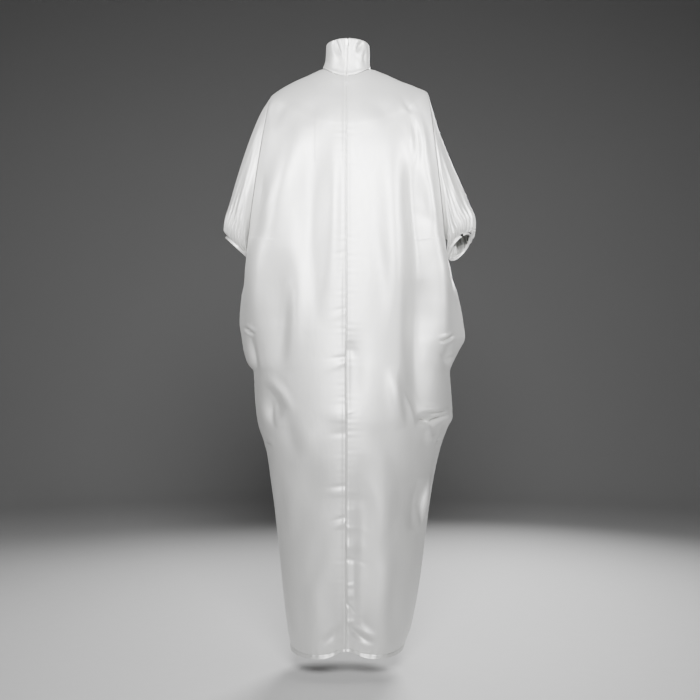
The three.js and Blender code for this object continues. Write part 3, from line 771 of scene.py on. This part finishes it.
# %% White enamel and black resin
enamel, shader = new_material("zinc_white_enamel")
place = add_node(enamel, "ShaderNodeTexCoord").outputs["Object"]
peel = add_node(
    enamel, "ShaderNodeTexNoise", {"Vector": place, "Scale": noise_scale(0.8), "Detail": 1}
).outputs["Fac"]
peeled = add_node(
    enamel, "ShaderNodeBump", {"Height": peel, "Strength": 0.15, "Distance": 0.0001}
).outputs["Normal"]
fill_in(
    enamel, shader,
    {
        "Base Color": linear("#f4f4f1"), "Roughness": 0.28, "IOR": 1.5,
        "Coat Weight": 0.5, "Coat Roughness": 0.12, "Normal": peeled,
    },
)
resin, shader = new_material("polyester_resin_black")
place = add_node(resin, "ShaderNodeTexCoord").outputs["Object"]
scuffs = add_node(
    resin, "ShaderNodeTexNoise", {"Vector": place, "Scale": noise_scale(1.5), "Detail": 4}
).outputs["Fac"]
polish = add_node(
    resin, "ShaderNodeMapRange", {"Value": scuffs, "To Min": 0.14, "To Max": 0.3}
).outputs["Result"]
fill_in(resin, shader, {"Base Color": linear("#141415"), "Roughness": polish, "IOR": 1.56})
print("made", enamel.name, "and", resin.name)


# %% Putting a finish on a piece
def finish(piece, material, body="garment"):
    piece.data.materials.clear()
    piece.data.materials.append(material)
    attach(piece, body)


# %% [markdown]
# ## The body's panels
# The two back halves meet on the centre seam, and the front is one piece. Each panel takes the
# smooth surface, moves it along its normals by its folds, creases and seams, and gets a
# thickness. At the seams the move fades out, so that neighbours still fit each other. Under the
# arm the form turns sharply, which cloth can't do, so the turn is spread over a hand's breadth. The
# hem is turned up and stitched, so it is a thicker band. Behind the left half a facing, a patch of
# spare cloth sewn in beside the zip, presses through by less than half a millimetre.

# %% Panel relief
CLOTH = 1.2  # turned satin, two layers pressed together at most edges
FACING = {"left": -76, "top": -64, "bottom": -231, "step": 0.4, "edge": 1.5}
HEM_BAND = {"height": 9, "raise": 0.5, "flare": 2.3, "stitch": -0.7, "pull": 0.8}
STITCHES = {"up": 0.3, "width": 0.9, "pull_up": 1, "pull_reach": 9}
FADE = {"folds": 24, "creases": 9, "shoulder": 52}  # how far off a seam the cloth moves freely
SHOULDER_SLOPE = 1.6  # length of cloth in a millimetre of height there


def pressed_facing(x, z):
    """A facing behind the cloth, left of the zip, shows as a patch a hair higher than the rest."""
    inside = 1
    for past in (x - FACING["left"], FACING["top"] - z, z - FACING["bottom"]):
        inside = inside * np.clip(past / FACING["edge"] + 0.5, 0, 1)
    return FACING["step"] * inside


def hem_relief(from_hem, along_hem):
    """The turned-up band, which flares a little, its row of stitches, and puckers over them."""
    down = HEM_BAND["height"] - from_hem
    band = HEM_BAND["raise"] * np.clip(down * 1.5 + 0.5, 0, 1)
    flare = HEM_BAND["flare"] * np.clip(down / HEM_BAND["height"], 0, 1) ** 1.3
    stitch = HEM_BAND["stitch"] * bell(down + STITCHES["up"], STITCHES["width"])
    pull = HEM_BAND["pull"] * bell(down + STITCHES["pull_up"], STITCHES["pull_reach"])
    return band + flare + stitch + pull * uneven_wave(along_hem, PUCKER["spacing"])


def panel_relief(face, side, grid):
    """How far the cloth stands off the smooth surface at each point."""
    x, z = grid[..., 0], grid[..., 2]
    from_neck = (NECK_HEIGHT - HEIGHTS)[:, None]
    from_centre = lengths(grid, 1)
    from_side = from_centre[:, -1:] - from_centre
    across = np.minimum(np.abs(x / body_edge(side, face)[:, :1]), 1)
    calm = (1 - across**8) * (1 - bell(from_side, FADE["folds"]))
    near_side = 1 - bell(from_side, FADE["creases"])
    relief = all_creases(FOLDS, x, z, face) * calm + all_creases(CREASES, x, z, face) * near_side
    relief = relief * np.clip(from_neck / FADE["shoulder"], 0, 1)
    relief = relief + seam_relief(from_side, grid[:, -1:, 2], 90 * side * face)
    relief = relief + seam_relief(from_neck * SHOULDER_SLOPE, from_centre, 30 * side)
    if face < 0:
        relief = relief + centre_seam(side, from_centre, z)
        if side < 0:
            relief = relief + pressed_facing(x, z)
    return relief + hem_relief((HEIGHTS - HEM)[:, None], from_centre + 200 * side)


EASE = {"spread": 40, "reach": 80, "seam": 6}


def eased(grid):
    """The grid with its turn at the underarm spread over a hand's breadth, but not at its seams."""
    weights = bell(HEIGHTS[:, None] - HEIGHTS, EASE["spread"]) * np.abs(np.gradient(HEIGHTS))
    weights /= weights.sum(1, keepdims=True)
    smooth = np.einsum("ij,jkl->ikl", weights, grid)
    columns = np.linspace(0, 1, grid.shape[1])
    inside = np.clip((1 - columns) * EASE["seam"], 0, 1)
    share = bell(HEIGHTS - UNDERARM, EASE["reach"])[:, None] * inside
    grid[..., :2] = lerp(grid, smooth, share[..., None])[..., :2]
    return grid


def panel_half(face, side, columns):
    """Half a panel's outer points, and the smooth surface's normals."""
    grid = eased(body_half(face, side, reaches(columns)))
    normals = grid_normals(grid) * side * -face
    centre, edge = normals[:, 0], normals[:, -1]
    centre[:, 0] = 0
    edge[~ON_ARMHOLE, 1] = 0
    normals = unit(normals)
    if face < 0:
        grid[:, 0, 0] += side * SEAM / 2
    return grid + normals * panel_relief(face, side, grid)[..., None], normals


# %% [markdown]
# The back is cut as two halves, for the zip. The front is cut in one, with no seam in the middle,
# so its two sides are worked out one by one and joined into one grid before it gets its thickness.

# %% Back and front
BACK_COLUMNS, FRONT_COLUMNS = 104, 54


def settled(grid, normals):
    """The cloth's own normals inside a panel, and the smooth form's at its seams."""
    own = grid_normals(grid)
    own *= np.sign((own * normals).sum(-1, keepdims=True))
    own[:, [0, -1]] = normals[:, [0, -1]]
    return unit(own)


panels = []
for side in (-1, 1):
    grid, normals = panel_half(-1, side, BACK_COLUMNS)
    piece = shell(f"back_{SIDE_NAME[side]}_cloth", grid, CLOTH, settled(grid, normals))
    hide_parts(f"back_{SIDE_NAME[side]}")
    panels.append(piece)
left, left_normals = panel_half(1, -1, FRONT_COLUMNS)
right, right_normals = panel_half(1, 1, FRONT_COLUMNS)
grid = np.concatenate([left[:, :0:-1], right], 1)
normals = np.concatenate([left_normals[:, :0:-1], right_normals], 1)
front_piece = shell("front_cloth", grid, CLOTH, settled(grid, normals))
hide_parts("front")
for piece in (*panels, front_piece):
    finish(piece, satin)
for piece in panels:
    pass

# %% [markdown]
# ## The sleeves
# A gathered sleeve end is more cloth than its cuff can hold. It rises in narrow ridges at the
# cuff, which run out at different lengths up the sleeve. Longer folds pull from the shoulder.

# %% Sleeve relief
PULLS = table("""
side angle from to width depth
# long soft ones
-1 -62 0.2 0.9 13 -4
-1 -100 0.35 0.95 15 -5
-1 70 0.25 0.9 14 -4
1 -38 0.25 0.95 10 -4
1 -66 0.2 0.9 12 -4
1 -104 0.3 0.95 16 -5
1 75 0.25 0.9 14 -4
# short fine ones
-1 -14 0.02 0.55 8 2
-1 -30 0.1 0.75 7 -2
-1 -48 0.02 0.4 9 1.8
-1 -82 0.3 0.85 7 1.8
-1 -124 0.3 0.9 8 -2.2
-1 -146 0.45 0.98 7 1.6
-1 26 0.1 0.7 9 -2
-1 50 0.25 0.8 8 1.8
-1 96 0.3 0.9 9 -2.2
-1 128 0.4 0.95 8 1.8
1 -16 0.05 0.6 8 1.8
1 -27 0.15 0.8 5 -2.4
1 -51 0.12 0.8 6 2.2
1 -79 0.2 0.9 6 -2.6
1 -90 0.3 0.9 6 2
1 -126 0.35 0.92 8 -2.2
1 -150 0.5 0.98 7 1.6
1 24 0.1 0.7 9 -2
1 52 0.2 0.8 8 1.8
1 98 0.3 0.9 9 -2.2
1 130 0.4 0.95 8 1.8
""")
SLEEVE_ROWS, SLEEVE_LINES = 104, 126


def pulls(side, at, angle):
    """Folds that run down a sleeve and fade at both ends."""
    total = 0
    for pull in rows_of(PULLS):
        if pull["side"] == side:
            t = np.clip((at - pull["from"]) / (pull["to"] - pull["from"]), 0, 1)
            beside = bell(angle - pull["angle"], pull["width"])
            total = total + pull["depth"] * np.sin(math.pi * t) * beside
    return total


def gathers(k, at):
    """Ridges of uneven height, two steps of k apart, with a finer set near the cuff."""
    main = np.clip((at - GATHERS["from"]) / (1 - GATHERS["from"]), 0, 1) ** 1.5
    place = np.mod((k + ARMHOLE_STEPS) / 2, len(GATHER_SIZES))
    near = np.floor(place).astype(int) % len(GATHER_SIZES)
    after = (near + 1) % len(GATHER_SIZES)
    blend = np.clip((place - np.floor(place)) * 3 - 1, 0, 1)
    size = lerp(GATHER_SIZES[near], GATHER_SIZES[after], blend)
    ridge = np.cos(math.pi * k)
    ridge = np.sign(ridge) * np.abs(ridge) ** 0.8
    start = FINER["from"] + 0.2 * np.sin(k * 1.7 + 0.4) + 0.1 * np.sin(k * 0.9)
    finer = np.clip((at - start) / (1 - start), 0, 1) ** 1.2
    small = FINER["height"] * finer * np.sin(math.pi * k * FINER["each"] + 0.8)
    crushed = 1 + (GATHERS["crush"] - 1) * bell(at - GATHERS["crush_at"], GATHERS["crush_reach"])
    at_seam = 1 - CAUGHT["seam"] * bell(np.abs(k) - ARMHOLE_STEPS, 2)
    caught = np.clip((1 - at) / CAUGHT["reach"], CAUGHT["left"], 1) * at_seam
    return size * GATHERS["height"] * main * ridge * crushed * caught + small * caught


def sleeve_half(side, face):
    """The back (-1) or front half of a sleeve, from its outer seam to its inner one."""
    rows = np.linspace(0, 1, SLEEVE_ROWS) ** 0.96
    at = rows[:, None]
    beside = np.array([0, 0.06, 0.14, 0.26, 0.44])
    even = np.linspace(0.66, ARMHOLE_STEPS - 0.66, SLEEVE_LINES)
    step = face * np.concatenate([beside, even, ARMHOLE_STEPS - beside[::-1]])[None, :]
    angle = face * step_angle(np.abs(step), at)
    rings = sleeve_rings(side, rows)
    smooth = ring_points(side, rings, angle)
    from_armhole, from_outer = lengths(smooth, 0), lengths(smooth, 1)
    lift = gathers(step, at) + pulls(side, at, angle)
    lift = lift + seam_relief(from_armhole, smooth[:1, :, 2], 55 * side)
    for distance in (from_outer, from_outer[:, -1:] - from_outer):
        lift = lift + 0.7 * seam_relief(distance, from_armhole, 35 * side)
    grid = ring_points(side, rings, angle, lift)
    normals = grid_normals(grid)
    outward = unit(grid - ring_points(side, rings, angle, lift - 1))
    normals *= np.sign((normals * outward).sum(-1, keepdims=True))
    normals[[0, -1]], normals[:, [0, -1]] = outward[[0, -1]], outward[:, [0, -1]]
    gap = unit(rings[2]) * face * SEAM / 2 * np.array([side, 1, 1])
    grid[:, [0, -1]] += gap[:, None, :]
    name = f"sleeve_{SIDE_NAME[side]}_{'front' if face > 0 else 'back'}"
    piece = shell(name + "_cloth", grid, CLOTH, unit(normals))
    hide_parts(name)
    return piece


for side in (-1, 1):
    for face in (-1, 1):
        piece = sleeve_half(side, face)
        finish(piece, satin)

# %% [markdown]
# ## The cuffs
# The gathers are caught in a narrow binding, a strip of satin folded over the raw edge. It is
# plump and slightly uneven where gathers lie under it, and edge-stitched all round. Its section,
# with the dip of the stitches, is a short table that is carried round past the sleeve's last ring.

# %% Cuff bindings
BINDING_SEGMENTS = 240
LUMPS = {"size": 0.22, "swell": 0.35, "lift": 0.4, "spacing": 9}  # of the gathers under it
BINDING = table("""
down out
0.3 0.1
0.5 0.7
1.2 1.05
2.4 1
3.2 0.8
4.2 1.05
5.8 1.15
6.7 0.7
7 -0.2
6.8 -1.1
6 -1.55
3 -1.6
1 -1.6
0.45 -1.3
0.3 -0.6
""")


def cuff_rings(side, down):
    """Rings past the end of the sleeve, square to the cuff's own plane."""
    middle, long, front, opening = sleeve_rings(side, np.ones(1))
    axis = unit(np.cross(long, front))
    axis *= np.sign((axis * opening).sum(-1, keepdims=True))
    middle = middle + axis * np.asarray(down)[:, None]
    fill = lambda part: np.repeat(part, len(down), 0)
    return middle, fill(long), fill(front)


for side in (-1, 1):
    angle = np.linspace(0, 360, BINDING_SEGMENTS, endpoint=False)[None, :]
    lump = LUMPS["size"] * uneven_wave(angle * 0.9 + 70 * side, LUMPS["spacing"])
    profile = BINDING["out"][:, None]
    out = profile * (1 + LUMPS["swell"] * lump) + LUMPS["lift"] * lump * (profile > 0)
    angles = np.repeat(angle, len(profile), 0)
    points = ring_points(side, cuff_rings(side, BINDING["down"]), angles, out).reshape(-1, 3)
    closed = quads(len(profile) + 1, BINDING_SEGMENTS, True) % len(points)
    name, sleeve = f"cuff_{SIDE_NAME[side]}", f"sleeve_{SIDE_NAME[side]}_back_cloth"
    piece = add_mesh(name + "_binding", points, facing_out(points, closed).tolist())
    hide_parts(name)
    finish(piece, satin)
    print("binding", SIDE_NAME[side], "of", len(piece.data.polygons), "faces")

# %% [markdown]
# ## The funnel collar
# A funnel collar is a straight strip that stands on the neck seam. Its ends meet at the centre
# back, where the zip parts them. The top edge is a soft fold, and the strip buckles a little.

# %% Collar
COLLAR_WALL, COLLAR_RADIUS, SLIT = 2.0, 54, 0.6
SLIT_ROLL = {"depth": 1.7, "width": 1.9, "swell": 1.2, "swell_at": 4.8, "swell_width": 2.6}
SEAM_DROP = {"back": 29, "front": 44}  # how far the neck seam dips below its sides
COLLAR_DENTS = table("""
x1 z1 x2 z2 width depth
-30 84 -14 38 8 -2.4
40 78 26 40 9 -2.4
""")
COLLAR_CREASES = table("""
x1 z1 x2 z2 width depth bow steep
-29 84 -6 24 6 -3.2 3 2
42 80 24 44 6 -3 -2 2
47 62 46 10 4 -2.2 1 1.6
-48 60 -40 8 6 -1.2 3 1.4
-22 20 6 -6 7 0.9 2 1
12 34 34 8 7 0.8 -3 1
""")
COLLAR_FRONT_CREASES = table("""
x1 z1 x2 z2 width depth bow steep
-34 62 -20 6 6 -1.6 4 1.6
30 60 14 0 7 -1.6 -3 1.6
2 20 -6 -22 8 -1.2 3 1
""")
COLLAR_EDGE = table("""
down height width
0 -0.9 1.1
3 0.25 2.5
6 -0.25 0.8  # the line of the stitches
""")
COLLAR_ROWS = np.array(
    [0, 0.008, 0.018, 0.034, 0.06, *np.linspace(0.09, 0.95, 40), 0.965, 0.98, 0.99, 1]
)


def collar_surface(angle):
    """The outer points. The angle runs from the centre back by the right side and the front."""
    at, a = COLLAR_ROWS[:, None], np.radians(angle)[None, :]
    back = np.cos(a)
    dip = NECK_HEIGHT - np.where(back > 0, SEAM_DROP["back"], SEAM_DROP["front"])
    top = lerp(COLLAR_TOP["front"], COLLAR_TOP["back"], (1 + back) / 2)
    seam_z = lerp(dip, NECK_HEIGHT, np.sin(a) ** 2) + SEAM
    out = np.stack([np.sin(a), -back, 0 * a], -1)
    x = along(COLLAR, "halfWidth", at) * np.sin(a) + along(COLLAR, "shift", at)
    y = -along(COLLAR, "halfDepth", at) * back
    z = lerp(seam_z, top, at)
    from_slit = np.radians(np.minimum(angle, 360 - angle))[None, :] * COLLAR_RADIUS
    fine = all_creases(COLLAR_CREASES, x, z) * (1 - bell(from_slit, 6))
    front = all_creases(COLLAR_FRONT_CREASES, x, z) * (1 - bell(back, 0.3))
    lift = np.where(back > 0, all_creases(COLLAR_DENTS, x, z) + fine, front)
    height = COLLAR_TOP["back"] - NECK_HEIGHT + SEAM_DROP["back"]
    from_top = (1 - at) * height
    for fold in rows_of(COLLAR_EDGE):
        lift = lift + fold["height"] * bell(from_top - fold["down"], fold["width"])
    lift = lift + seam_relief(at * height, angle[None, :], 12) + groove(SLIT_ROLL, from_slit)
    point = np.stack([x, y, z], -1)
    return point + out * lift[..., None], np.broadcast_to(out, point.shape)


slit_angle = math.degrees(SLIT / COLLAR_RADIUS)
beside = slit_angle + np.array([0, 0.5, 1.1, 2.0, 3.2])
angles = np.concatenate([beside, np.linspace(5.2, 354.8, 220), 360 - beside[::-1]])
grid, outward = collar_surface(angles)
collar = shell("collar_cloth", grid, COLLAR_WALL, outward)
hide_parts("collar")
finish(collar, satin)

# %% [markdown]
# ## Small pieces
# Each cuff has two small black buttons. A button like this is turned on a lathe from a rod of
# resin: a low disc with a round rim, a shallow well and four holes. So its mesh is rings of points
# round an axis, which is read from the flat way of its CAD solid.

# %% Buttons
BUTTON = {"height": 4.4, "spread": 1.12, "rim": 0.9, "rounding": 0.4, "segments": 48}
WELL = {"radius": 0.6, "depth": 0.8, "crisp": 6}  # its radius is a share of the button's
HOLE = {"radius": 0.42, "at": 0.95, "depth": 1.1, "crisp": 14}


def corners_of(name):
    """The corners of a CAD node, in mm."""
    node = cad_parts[name]
    return np.array([node.matrix_world @ corner.co for corner in node.data.vertices]) / MM


def button_relief(radius, across, up, outer):
    """Height of a button's face over its seat: a round rim, a well and four holes."""
    dome = BUTTON["height"] * np.clip((outer - radius) / BUTTON["rim"], 0, 1) ** BUTTON["rounding"]
    sunk = WELL["depth"] / (1 + np.exp((radius - WELL["radius"] * outer) * WELL["crisp"]))
    holes = 0
    for a in (-HOLE["at"], HOLE["at"]):
        for b in (-HOLE["at"], HOLE["at"]):
            away = np.hypot(across - a, up - b) - HOLE["radius"]
            holes = holes + HOLE["depth"] / (1 + np.exp(away * HOLE["crisp"]))
    return dome - sunk - holes


def add_button(node):
    """A turned resin button on its CAD solid's seat: the solid's flattest direction is its axis."""
    corners = corners_of(node)
    middle = corners.mean(0)
    axes = np.linalg.svd(corners - middle)[2]
    cuff = np.array(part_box("cuff_right" if "right" in node else "cuff_left")).mean(0) / MM
    if axes[2] @ (middle - cuff) < 0:
        axes[2] = -axes[2]
    seat = ((corners - middle) @ axes[2]).min()
    outer = np.linalg.norm((corners - middle) @ axes[:2].T, axis=1).max() * BUTTON["spread"]
    face = np.linspace(0, 0.9, 22)
    rim = 1 - 0.1 * (1 - np.linspace(0.1, 1, 8)) ** 2
    radius = outer * np.concatenate([face, rim])[:, None]
    way = np.linspace(0, 2 * math.pi, BUTTON["segments"], endpoint=False)
    across, up = radius * np.cos(way), radius * np.sin(way)
    height = seat + button_relief(radius, across, up, outer)
    height[-1] = seat
    flat = np.stack([across, up], -1)
    flat = np.concatenate([flat, flat[-1:] * 0.5])  # the last ring lies on the button's back
    height = np.concatenate([height, height[-1:]])
    grid = middle + flat @ axes[:2] + height[..., None] * axes[2]
    faces = quads(len(grid), BUTTON["segments"], True).tolist()
    last = (len(grid) - 1) * BUTTON["segments"]
    faces.append([last + i for i in range(BUTTON["segments"])])
    piece = add_mesh(node + "_turned", grid, faces)
    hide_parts(node)
    return piece


for side in (-1, 1):
    for number in (1, 2):
        piece = add_button(f"button_{SIDE_NAME[side]}_{number}")
        finish(piece, resin)
print("button faces:", len(piece.data.polygons))

# %% [markdown]
# A coil zip is two woven tapes with a spiral of nylon along their meeting edges. Here it lies
# behind the slit with its coil turned in, so a thin line of tape, greyed as painted shade, shows
# outside and the coil inside.
# The slider and its tab are hard and simple, so they keep their CAD solids and only get enamel.

# %% Zip
TAPE = {"thickness": 0.6, "row": 3, "columns": 13, "inset": 0.2, "station": 12}
COIL = {"half_width": 2.1, "height": 1.1, "pitch": 1.8, "wire": 0.36, "lean": 0.35, "sides": 6}
COIL_GAP, COIL_ENDS = 0.05, 6  # between the tape and the coil, and from the tape's ends


def zip_line():
    """Heights down the zip, and its middle at each of them, from its CAD solid."""
    corners = corners_of("zip")
    left, _, bottom = corners.min(0)
    right, _, top = corners.max(0)
    heights = np.arange(top - 1, bottom + 1, -TAPE["row"])
    stations = np.arange(top, bottom, -TAPE["station"])
    near = [corners[np.abs(corners[:, 2] - z) < TAPE["station"] + 2] for z in stations]
    y = [(part[:, 1].max() + part[:, 1].min()) / 2 for part in near]
    return heights, np.interp(-heights, -stations, y), (left + right) / 2, (right - left) / 2


heights, depths, zip_middle, tape_half = zip_line()
across = np.linspace(-1, 1, TAPE["columns"]) * (tape_half - TAPE["inset"])
grid = np.empty((len(heights), len(across), 3))
grid[..., 0] = zip_middle + across
grid[..., 1] = depths[:, None] - TAPE["thickness"] / 2
grid[..., 2] = heights[:, None]
outwards = np.broadcast_to([0.0, -1.0, 0.0], grid.shape)
tape_piece = shell("zip_tape_woven", grid, TAPE["thickness"], outwards)
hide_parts("zip")
finish(tape_piece, tape)

turns = np.arange(heights[0] - COIL_ENDS, heights[-1] + COIL_ENDS, -COIL["pitch"])
ring = np.linspace(0, 2 * math.pi, COIL["sides"], endpoint=False)
points, faces = [], []
for number, z in enumerate(turns):
    depth = np.interp(-z, -heights, depths)
    y = depth + TAPE["thickness"] / 2 + COIL["height"] / 2 + COIL_GAP
    near = range(len(points), len(points) + COIL["sides"])
    far = [corner + COIL["sides"] for corner in near]
    for end in (-1, 1):
        lean = COIL["lean"] * end * (-1) ** number
        for way in ring:
            points.append([
                zip_middle + end * COIL["half_width"],
                y + COIL["height"] / 2 * math.cos(way),
                z + lean + COIL["wire"] * COIL["pitch"] * math.sin(way),
            ])
    for i in range(COIL["sides"]):
        after = (i + 1) % COIL["sides"]
        faces.append([near[i], near[after], far[after], far[i]])
    faces += [near[::-1], far]
coil = add_mesh("zip_coil", points, faces)
finish(coil, thread)
print("turns of the zip's coil:", len(turns))

for name in ("zip_slider", "zip_pull"):
    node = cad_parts[name]
    node.data.materials.clear()
    node.data.materials.append(enamel)

# %% [markdown]
# ## Floor, light and camera
# A photographer's sweep is a floor that bends up into a wall with no corner, so no line shows
# behind the garment. This one goes all round. Its paint is pale near the middle and fades to grey
# further out, a painted pool of light round the garment that ends in a grey wall, so white satin
# stands out from every side. One large soft light faces the back and makes its long folds read,
# two narrow ones light the flanks, and one lights the wearer's front.

# %% Stage
FLOOR = -1480
SWEEP = {"flat": 3400, "bend": 2200, "top": 4300, "around": 96}


def sweep_grid():
    """Rows of the sweep, from the middle of the floor up to the top of the wall."""
    turn = np.linspace(0, math.pi / 2, 16)
    flat = np.linspace(100, SWEEP["flat"], 9)
    rim = SWEEP["flat"] + SWEEP["bend"]
    radius = np.concatenate([flat, SWEEP["flat"] + SWEEP["bend"] * np.sin(turn[1:]), [rim]])
    height = np.concatenate([0 * flat, SWEEP["bend"] * (1 - np.cos(turn[1:])), [SWEEP["top"]]])
    way = np.linspace(0, 2 * math.pi, SWEEP["around"], endpoint=False)
    level = FLOOR + height[:, None] + 0 * way
    return np.stack([radius[:, None] * np.cos(way), radius[:, None] * np.sin(way), level], -1)


grid = sweep_grid()
faces = quads(len(grid), SWEEP["around"], True).tolist() + [list(range(SWEEP["around"]))]
floor = add_mesh("floor", grid, faces)
paint, shader = new_material("sweep_matt_paint")
place = add_node(paint, "ShaderNodeTexCoord").outputs["Object"]
grain = add_node(
    paint, "ShaderNodeTexNoise", {"Vector": place, "Scale": noise_scale(40), "Detail": 2}
).outputs["Fac"]
underfoot = add_node(
    paint, "ShaderNodeMix", {"Factor": grain, "A": linear("#c6c6c6"), "B": linear("#cacaca")},
    data_type="RGBA",
).outputs["Result"]
distance = add_node(
    paint, "ShaderNodeVectorMath", {"Vector": place}, operation="LENGTH"
).outputs["Value"]
# a painted pool of light: the paint greys with distance from the middle of the floor
painted_light_pool = add_node(
    paint,
    "ShaderNodeMapRange",
    {"Value": distance, "From Min": 1.5, "From Max": 5.2},
    interpolation_type="SMOOTHSTEP",
).outputs["Result"]
paint_tone = add_node(
    paint, "ShaderNodeMix", {"Factor": painted_light_pool, "A": underfoot, "B": linear("#8e8e8e")},
    data_type="RGBA",
).outputs["Result"]
fill_in(paint, shader, {"Base Color": paint_tone, "Roughness": 0.8})
floor.data.materials.append(paint)

world = bpy.data.worlds.new("studio")
world.use_nodes = True
world.node_tree.nodes["Background"].inputs["Color"].default_value = linear("#f0f0f0")
world.node_tree.nodes["Background"].inputs["Strength"].default_value = 0.06
bpy.context.scene.world = world


def add_light(name, place, aim, size, power, spread):
    """A round soft light. Places and size are in metres, and the spread in degrees."""
    light = bpy.data.lights.new(name, "AREA")
    light.shape, light.size, light.energy = "DISK", size, power
    light.spread = math.radians(spread)
    lamp = bpy.data.objects.new(name, light)
    bpy.context.scene.collection.objects.link(lamp)
    lamp.location = place
    way = Vector(aim) - Vector(place)
    lamp.rotation_euler = way.to_track_quat("-Z", "Y").to_euler()


add_light("key", place=(0.1, -3.2, 0.6), aim=(0, 0, -0.3), size=1.3, power=50, spread=70)
add_light("left", place=(-2.6, -1.7, 0.5), aim=(-0.15, 0, -0.08), size=0.7, power=4, spread=24)
add_light("right", place=(2.5, -1.9, 0.4), aim=(0.15, 0, -0.12), size=0.7, power=5, spread=24)
add_light("rear", place=(0.8, 3.1, 0.1), aim=(0, 0, -0.6), size=1.4, power=60, spread=90)

VIEW = {"x": 8.75, "height": -687.5, "distance": 3000, "width": 1750}
camera = bpy.data.objects.new("camera", bpy.data.cameras.new("camera"))
bpy.context.scene.collection.objects.link(camera)
camera.location = (VIEW["x"] * MM, -VIEW["distance"] * MM, VIEW["height"] * MM)
camera.rotation_euler = (math.pi / 2, 0, 0)
camera.data.sensor_width = 36
camera.data.lens = camera.data.sensor_width * VIEW["distance"] / VIEW["width"]
camera.data.clip_end = 200
bpy.context.scene.camera = camera
